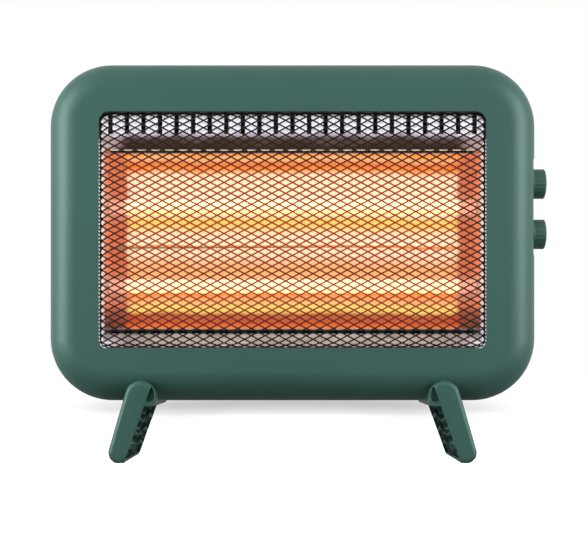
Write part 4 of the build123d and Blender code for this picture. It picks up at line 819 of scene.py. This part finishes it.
class HEATER_OT_guard(Operator):
    """Make the guard: a fine diamond net, rolled back at its edges, and the lining of the window"""

    bl_idname = "heater.guard"
    bl_label = "Wire guard"

    def execute(self, context):
        size = context.scene.heater_guard
        clearance = 0.5 * MM
        half_x = WINDOW_HALF_X - clearance
        half_z = WINDOW_HALF_Z - clearance
        front_y = SHELL_LOW.y + 1.0 * MM
        depth = 7.0 * MM
        corner = 6.5 * MM
        arc_x = quarter_ellipse(size.roll_side, depth)
        arc_z = quarter_ellipse(size.roll_top, depth)
        flat_x = 2 * (half_x - size.roll_side + arc_x)
        flat_z = 2 * (half_z - size.roll_top + arc_z)
        net = start(
            "guard_net", bpy.ops.mesh.primitive_grid_add, x_subdivisions=round(flat_x / size.pitch_long),
            y_subdivisions=round(flat_z / size.pitch_short), size=1, rotation=(math.radians(90), 0, 0))
        choose_all(net)
        bpy.ops.mesh.poke()
        choose(net, "EDGE", self.is_grid_line)
        bpy.ops.mesh.dissolve_edges(use_verts=False)
        choose_all(net)
        bpy.ops.transform.resize(value=(flat_x, 1, flat_z))
        bpy.ops.mesh.inset(thickness=size.strand / 2, use_individual=True, use_even_offset=True)
        bpy.ops.mesh.delete(type="FACE")
        bpy.ops.object.mode_set(mode="OBJECT")
        centre = Vector((MIDDLE_X, front_y, WINDOW_Z))
        for point in net.data.vertices:
            x, back_x = rolled(point.co.x, half_x, size.roll_side, arc_x, depth)
            z, back_z = rolled(point.co.z, half_z, size.roll_top, arc_z, depth)
            over_x = abs(x) - (half_x - corner)
            over_z = abs(z) - (half_z - corner)
            reach = math.hypot(over_x, over_z)
            if over_x > 0 and over_z > 0 and reach > corner:
                x = math.copysign(half_x - corner + over_x * corner / reach, x)
                z = math.copysign(half_z - corner + over_z * corner / reach, z)
            point.co = centre + Vector((x, max(back_x, back_z), z))
        choose_all(net)
        bpy.ops.mesh.normals_make_consistent(inside=False)
        modify(net, "SOLIDIFY", thickness=size.sheet, offset=0.0, use_even_offset=True)
        settle(net, "housing", FINISH["black_mesh"], ("guard_mesh", "guard_rim"), sharp=40)
        spare, lining, lining_depth = 0.05 * MM, 0.35 * MM, 5.8 * MM
        lining_front_y = SHELL_LOW.y + 2.4 * MM
        edge = window_ring(
            "guard_edge", WINDOW_HALF_X - spare, WINDOW_HALF_Z - spare, corner + clearance - spare,
            lining, lining_front_y, lining_depth)
        settle(edge, "housing", FINISH["window_wall"])
        return {"FINISHED"}

    def is_grid_line(self, edge):
        """True for the inner lines of the first grid, which run along X or Z."""
        way = edge.verts[1].co - edge.verts[0].co
        return len(edge.link_faces) == 2 and min(abs(way.x), abs(way.z)) < 1e-7


class HEATER_OT_reflector(Operator):
    """Make the sheet metal: the two troughs, their end plates and both deflectors"""

    bl_idname = "heater.reflector"
    bl_label = "Reflector and deflectors"

    def execute(self, context):
        sheets = {
            "reflector": ("trough_sheet", "bright_steel"),
            "end_plate_left": ("end_sheet_left", "bright_steel"),
            "end_plate_right": ("end_sheet_right", "bright_steel"),
            "top_deflector": ("vent_sheet", "white_enamel"),
            "bottom_deflector": ("lower_ledge", "ledge_steel"),
        }
        for cad, (name, finish) in sheets.items():
            piece = merged_copy(cad, name)
            settle(piece, "housing", FINISH[finish], (cad,), sharp=25)
            if finish == "bright_steel":
                piece.data.materials.append(FINISH["ledge_steel"])
                choose(piece, "FACE", self.looks_away)
                piece.active_material_index = 1
                bpy.ops.object.material_slot_assign()
                bpy.ops.object.mode_set(mode="OBJECT")
        return {"FINISHED"}

    def looks_away(self, face):
        """True for a face on the outer side of the troughs, which the tubes don't light."""
        middle = face.calc_center_median()
        tube_z = min(TUBE_Z.values(), key=lambda z: abs(z - middle.z))
        return face.normal.dot(Vector((MIDDLE_X, TUBE_Y, tube_z)) - middle) < 0


class HEATER_OT_tubes(Operator):
    """Make the quartz tubes and the closely wound coils that glow inside them"""

    bl_idname = "heater.tubes"
    bl_label = "Tubes and coils"

    def execute(self, context):
        size = context.scene.heater_coils
        for level in ("upper", "lower"):
            tube = merged_copy(f"quartz_tube_{level}", f"tube_{level}")
            settle(tube, "housing", FINISH["quartz"], (f"quartz_tube_{level}",))
            coil = start(
                f"coil_{level}", bpy.ops.mesh.primitive_circle_add, vertices=5, radius=size.wire / 2,
                location=(-size.glowing_length / 2, 0, size.radius), rotation=(math.radians(90), 0, 0))
            modify(coil, "SCREW", axis="X", angle=math.tau, screw_offset=size.glowing_length / size.turns,
                   iterations=size.turns, steps=10, render_steps=10, use_merge_vertices=True,
                   merge_threshold=0.001 * MM)
            choose_all(coil)
            bpy.ops.transform.translate(value=(MIDDLE_X, TUBE_Y, TUBE_Z[level]))
            bpy.ops.mesh.normals_make_consistent(inside=False)
            settle(coil, "housing", FINISH["heating_wire"], (f"heating_coil_{level}",))
        return {"FINISHED"}


class HEATER_OT_feet(Operator):
    """Make the smooth moulded feet with their ribs"""

    bl_idname = "heater.feet"
    bl_label = "Feet"

    def execute(self, context):
        for side in ("left", "right"):
            foot = merged_copy(f"foot_{side}", f"leg_{side}")
            settle(foot, "housing", FINISH["green_plastic"], (f"foot_{side}",))
            modify(foot, "WEIGHTED_NORMAL", keep_sharp=True)
        return {"FINISHED"}


class HEATER_OT_knobs(Operator):
    """Make the two knobs: a skirt, a fluted cap with a low dome, a pointer groove and the bore"""

    bl_idname = "heater.knobs"
    bl_label = "Knobs"

    def execute(self, context):
        size = context.scene.heater_knobs
        lines_in_flute = 6
        # How far each line of a flute is drawn in, as a share of its depth; line 3 is the crest
        pull = {0: 1.0, 1: 0.75, 5: 0.75, 2: 0.25, 4: 0.25}
        hair, rim = 0.01 * MM, 0.8 * MM
        bore_radius, bore_depth = 3.05 * MM, 9 * MM
        groove_depth_middle, groove_middle = 0.5 * MM, 6.4 * MM
        groove_size = (1.8 * MM, 1.3 * MM, 7.4 * MM)
        for level, body in (("upper", "selector_knob"), ("lower", "thermostat_knob")):
            low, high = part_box(f"knob_{level}")
            middle = (low + high) / 2
            base = Vector((low.x, middle.y, middle.z))
            lines = size.flutes * lines_in_flute
            skirt_radius = (high.z - low.z) / 2
            knob = start(
                f"dial_{level}", bpy.ops.mesh.primitive_circle_add, vertices=lines, radius=skirt_radius,
                fill_type="NGON", location=base, rotation=(0, math.radians(90), 0))
            choose_all(knob)
            cap, edge = size.radius, high.x - size.dome
            skirt_top = low.x + size.skirt
            turn_profile(knob, [
                (skirt_top - 0.5 * MM, skirt_radius), (skirt_top - 0.1 * MM, skirt_radius - 0.2 * MM),
                (skirt_top, skirt_radius - 0.6 * MM), (skirt_top, cap), (edge - 0.9 * MM, cap),
                (edge - 0.4 * MM, cap - 0.15 * MM), (edge, cap - 0.7 * MM),
                (edge + 0.55 * size.dome, cap * 0.72), (edge + 0.9 * size.dome, cap * 0.36),
                (high.x, cap * 0.1),
            ], skirt_radius, base)
            step = math.tau / lines
            for line, share in pull.items():
                choose(knob, "VERT", lambda point: (
                    point.co.x > skirt_top + hair
                    and math.hypot(point.co.y - base.y, point.co.z - base.z) > cap - rim
                    and line == round(
                        math.atan2(point.co.z - base.z, point.co.y - base.y) / step) % lines_in_flute))
                draw_in = 1 - share * size.flute_depth / cap
                bpy.ops.transform.resize(value=(1, draw_in, draw_in), center_override=base)
            choose(knob, "FACE", lambda face: (
                face.normal.x < -0.9 and face.calc_center_median().x < low.x + hair))
            turn_profile(
                knob, [(low.x, bore_radius), (low.x + bore_depth, bore_radius)], skirt_radius, base)
            choose_all(knob)
            bpy.ops.mesh.normals_make_consistent(inside=False)
            cut_box(
                knob, (high.x - groove_depth_middle, base.y, base.z + groove_middle), groove_size)
            settle(knob, body, FINISH["knob"], (f"knob_{level}",), sharp=28)
        return {"FINISHED"}


class HEATER_OT_screws(Operator):
    """Make the screws: pan heads with a cross recess on threaded shanks, where the CAD has plain ones"""

    bl_idname = "heater.screws"
    bl_label = "Screws"

    def execute(self, context):
        for cad in ("cover_screws", "foot_screws", "sheet_screws", "inner_screws", "control_screws"):
            blanks = merged_copy(cad, f"blanks_{cad}")
            choose_all(blanks)
            bpy.ops.mesh.separate(type="LOOSE")
            bpy.ops.object.mode_set(mode="OBJECT")
            made = [self.screw(blank) for blank in list(context.selected_objects)]
            pick(*made)
            bpy.ops.object.join()
            screws = context.active_object
            screws.name = f"pan_{cad}"
            settle(screws, "housing", FINISH["zinc_steel"], (cad,), sharp=30)
        return {"FINISHED"}

    def screw(self, blank):
        """Turns one screw along X from its tip to its head, cuts its recess, swings it to its blank's
        axis, and takes the blank away."""
        points = [point.co.copy() for point in blank.data.vertices]
        low = Vector([min(point[i] for point in points) for i in range(3)])
        high = Vector([max(point[i] for point in points) for i in range(3)])
        size, centre = high - low, (high + low) / 2
        axis = min(range(3), key=lambda i: abs(size[(i + 1) % 3] - size[(i + 2) % 3]))
        wide = [point[axis] for point in points if max(
            abs(point[i] - centre[i]) for i in range(3) if i != axis) > 0.4 * size[(axis + 1) % 3]]
        head_side = 1 if sum(wide) / len(wide) > centre[axis] else -1
        top, radius = size[axis] / 2, size[(axis + 1) % 3] / 2
        tip, head, pitch, crest = -top, 2.2 * MM, 0.8 * MM, 1.5 * MM
        root, tip_radius = 0.8 * crest, 0.3 * crest
        made = start(
            "screw", bpy.ops.mesh.primitive_circle_add, vertices=24, radius=tip_radius, fill_type="NGON",
            location=(tip, 0, 0), rotation=(0, math.radians(90), 0))
        choose_all(made)
        steps = []
        for turn in range(int((size[axis] - head) / pitch) - 1):
            swell = min(1.0, 0.5 + turn / 3)
            steps += [
                (tip + (turn + 0.5) * pitch, crest * swell), (tip + (turn + 1) * pitch, root * swell)]
        steps += [
            (top - head, root), (top - head, radius), (top - 0.6 * head, radius),
            (top - 0.25 * head, radius * 0.86), (top - 0.05 * head, radius * 0.55), (top, radius * 0.2),
        ]
        turn_profile(made, steps, tip_radius, Vector((tip, 0, 0)))
        choose_all(made)
        bpy.ops.mesh.normals_make_consistent(inside=False)
        wing, arm, recess = 0.96 * MM, 0.992 * radius, 1.9 * MM
        for width, height in ((wing, arm), (arm, wing)):
            cut_box(made, (top, 0, 0), (recess, width, height))
        way = Vector([head_side if i == axis else 0 for i in range(3)])
        made.rotation_euler = way.to_track_quat("X", "Z").to_euler()
        made.location = centre
        pick(made)
        bpy.ops.object.transform_apply(location=True, rotation=True, scale=True)
        pick(blank)
        bpy.ops.object.delete()
        return made


class HEATER_OT_inner_parts(Operator):
    """Give every part that keeps its CAD shape the finish of what it is made of"""

    bl_idname = "heater.inner_parts"
    bl_label = "Inner parts"

    def execute(self, context):
        for name, part in frame["nodes"].items():
            if part.hide_render:
                continue
            part.data.materials.clear()
            part.data.materials.append(FINISH[SLOT_OF[name]])
        return {"FINISHED"}


class HEATER_PT_panel(Panel):
    """Lists the pieces of the heater"""

    bl_idname = "HEATER_PT_panel"
    bl_label = "Quartz heater"
    bl_space_type = "VIEW_3D"
    bl_region_type = "UI"
    bl_category = "Heater"

    def draw(self, context):
        for operator in PIECES:
            self.layout.operator(operator.bl_idname)


PIECES = (
    HEATER_OT_finishes, HEATER_OT_shell, HEATER_OT_guard, HEATER_OT_reflector, HEATER_OT_tubes,
    HEATER_OT_feet, HEATER_OT_knobs, HEATER_OT_screws, HEATER_OT_inner_parts, HEATER_OT_stage,
)
SETTINGS = {
    "heater_stage": StageSettings, "heater_guard": GuardSettings, "heater_coils": CoilSettings,
    "heater_shell": ShellSettings, "heater_knobs": KnobSettings,
}


def register():
    """Adds the classes and the settings."""
    for group in (*SETTINGS.values(), *PIECES, HEATER_PT_panel):
        bpy.utils.register_class(group)
    for name, group in SETTINGS.items():
        setattr(bpy.types.Scene, name, PointerProperty(type=group))


def unregister():
    """Takes the settings and the classes away again."""
    for name in SETTINGS:
        delattr(bpy.types.Scene, name)
    for group in reversed((*SETTINGS.values(), *PIECES, HEATER_PT_panel)):
        bpy.utils.unregister_class(group)


def main():
    """Builds the whole heater in order."""
    register()
    for operator in PIECES:
        group, action = operator.bl_idname.split(".")
        getattr(getattr(bpy.ops, group), action)()


if __name__ == "__main__":
    main()
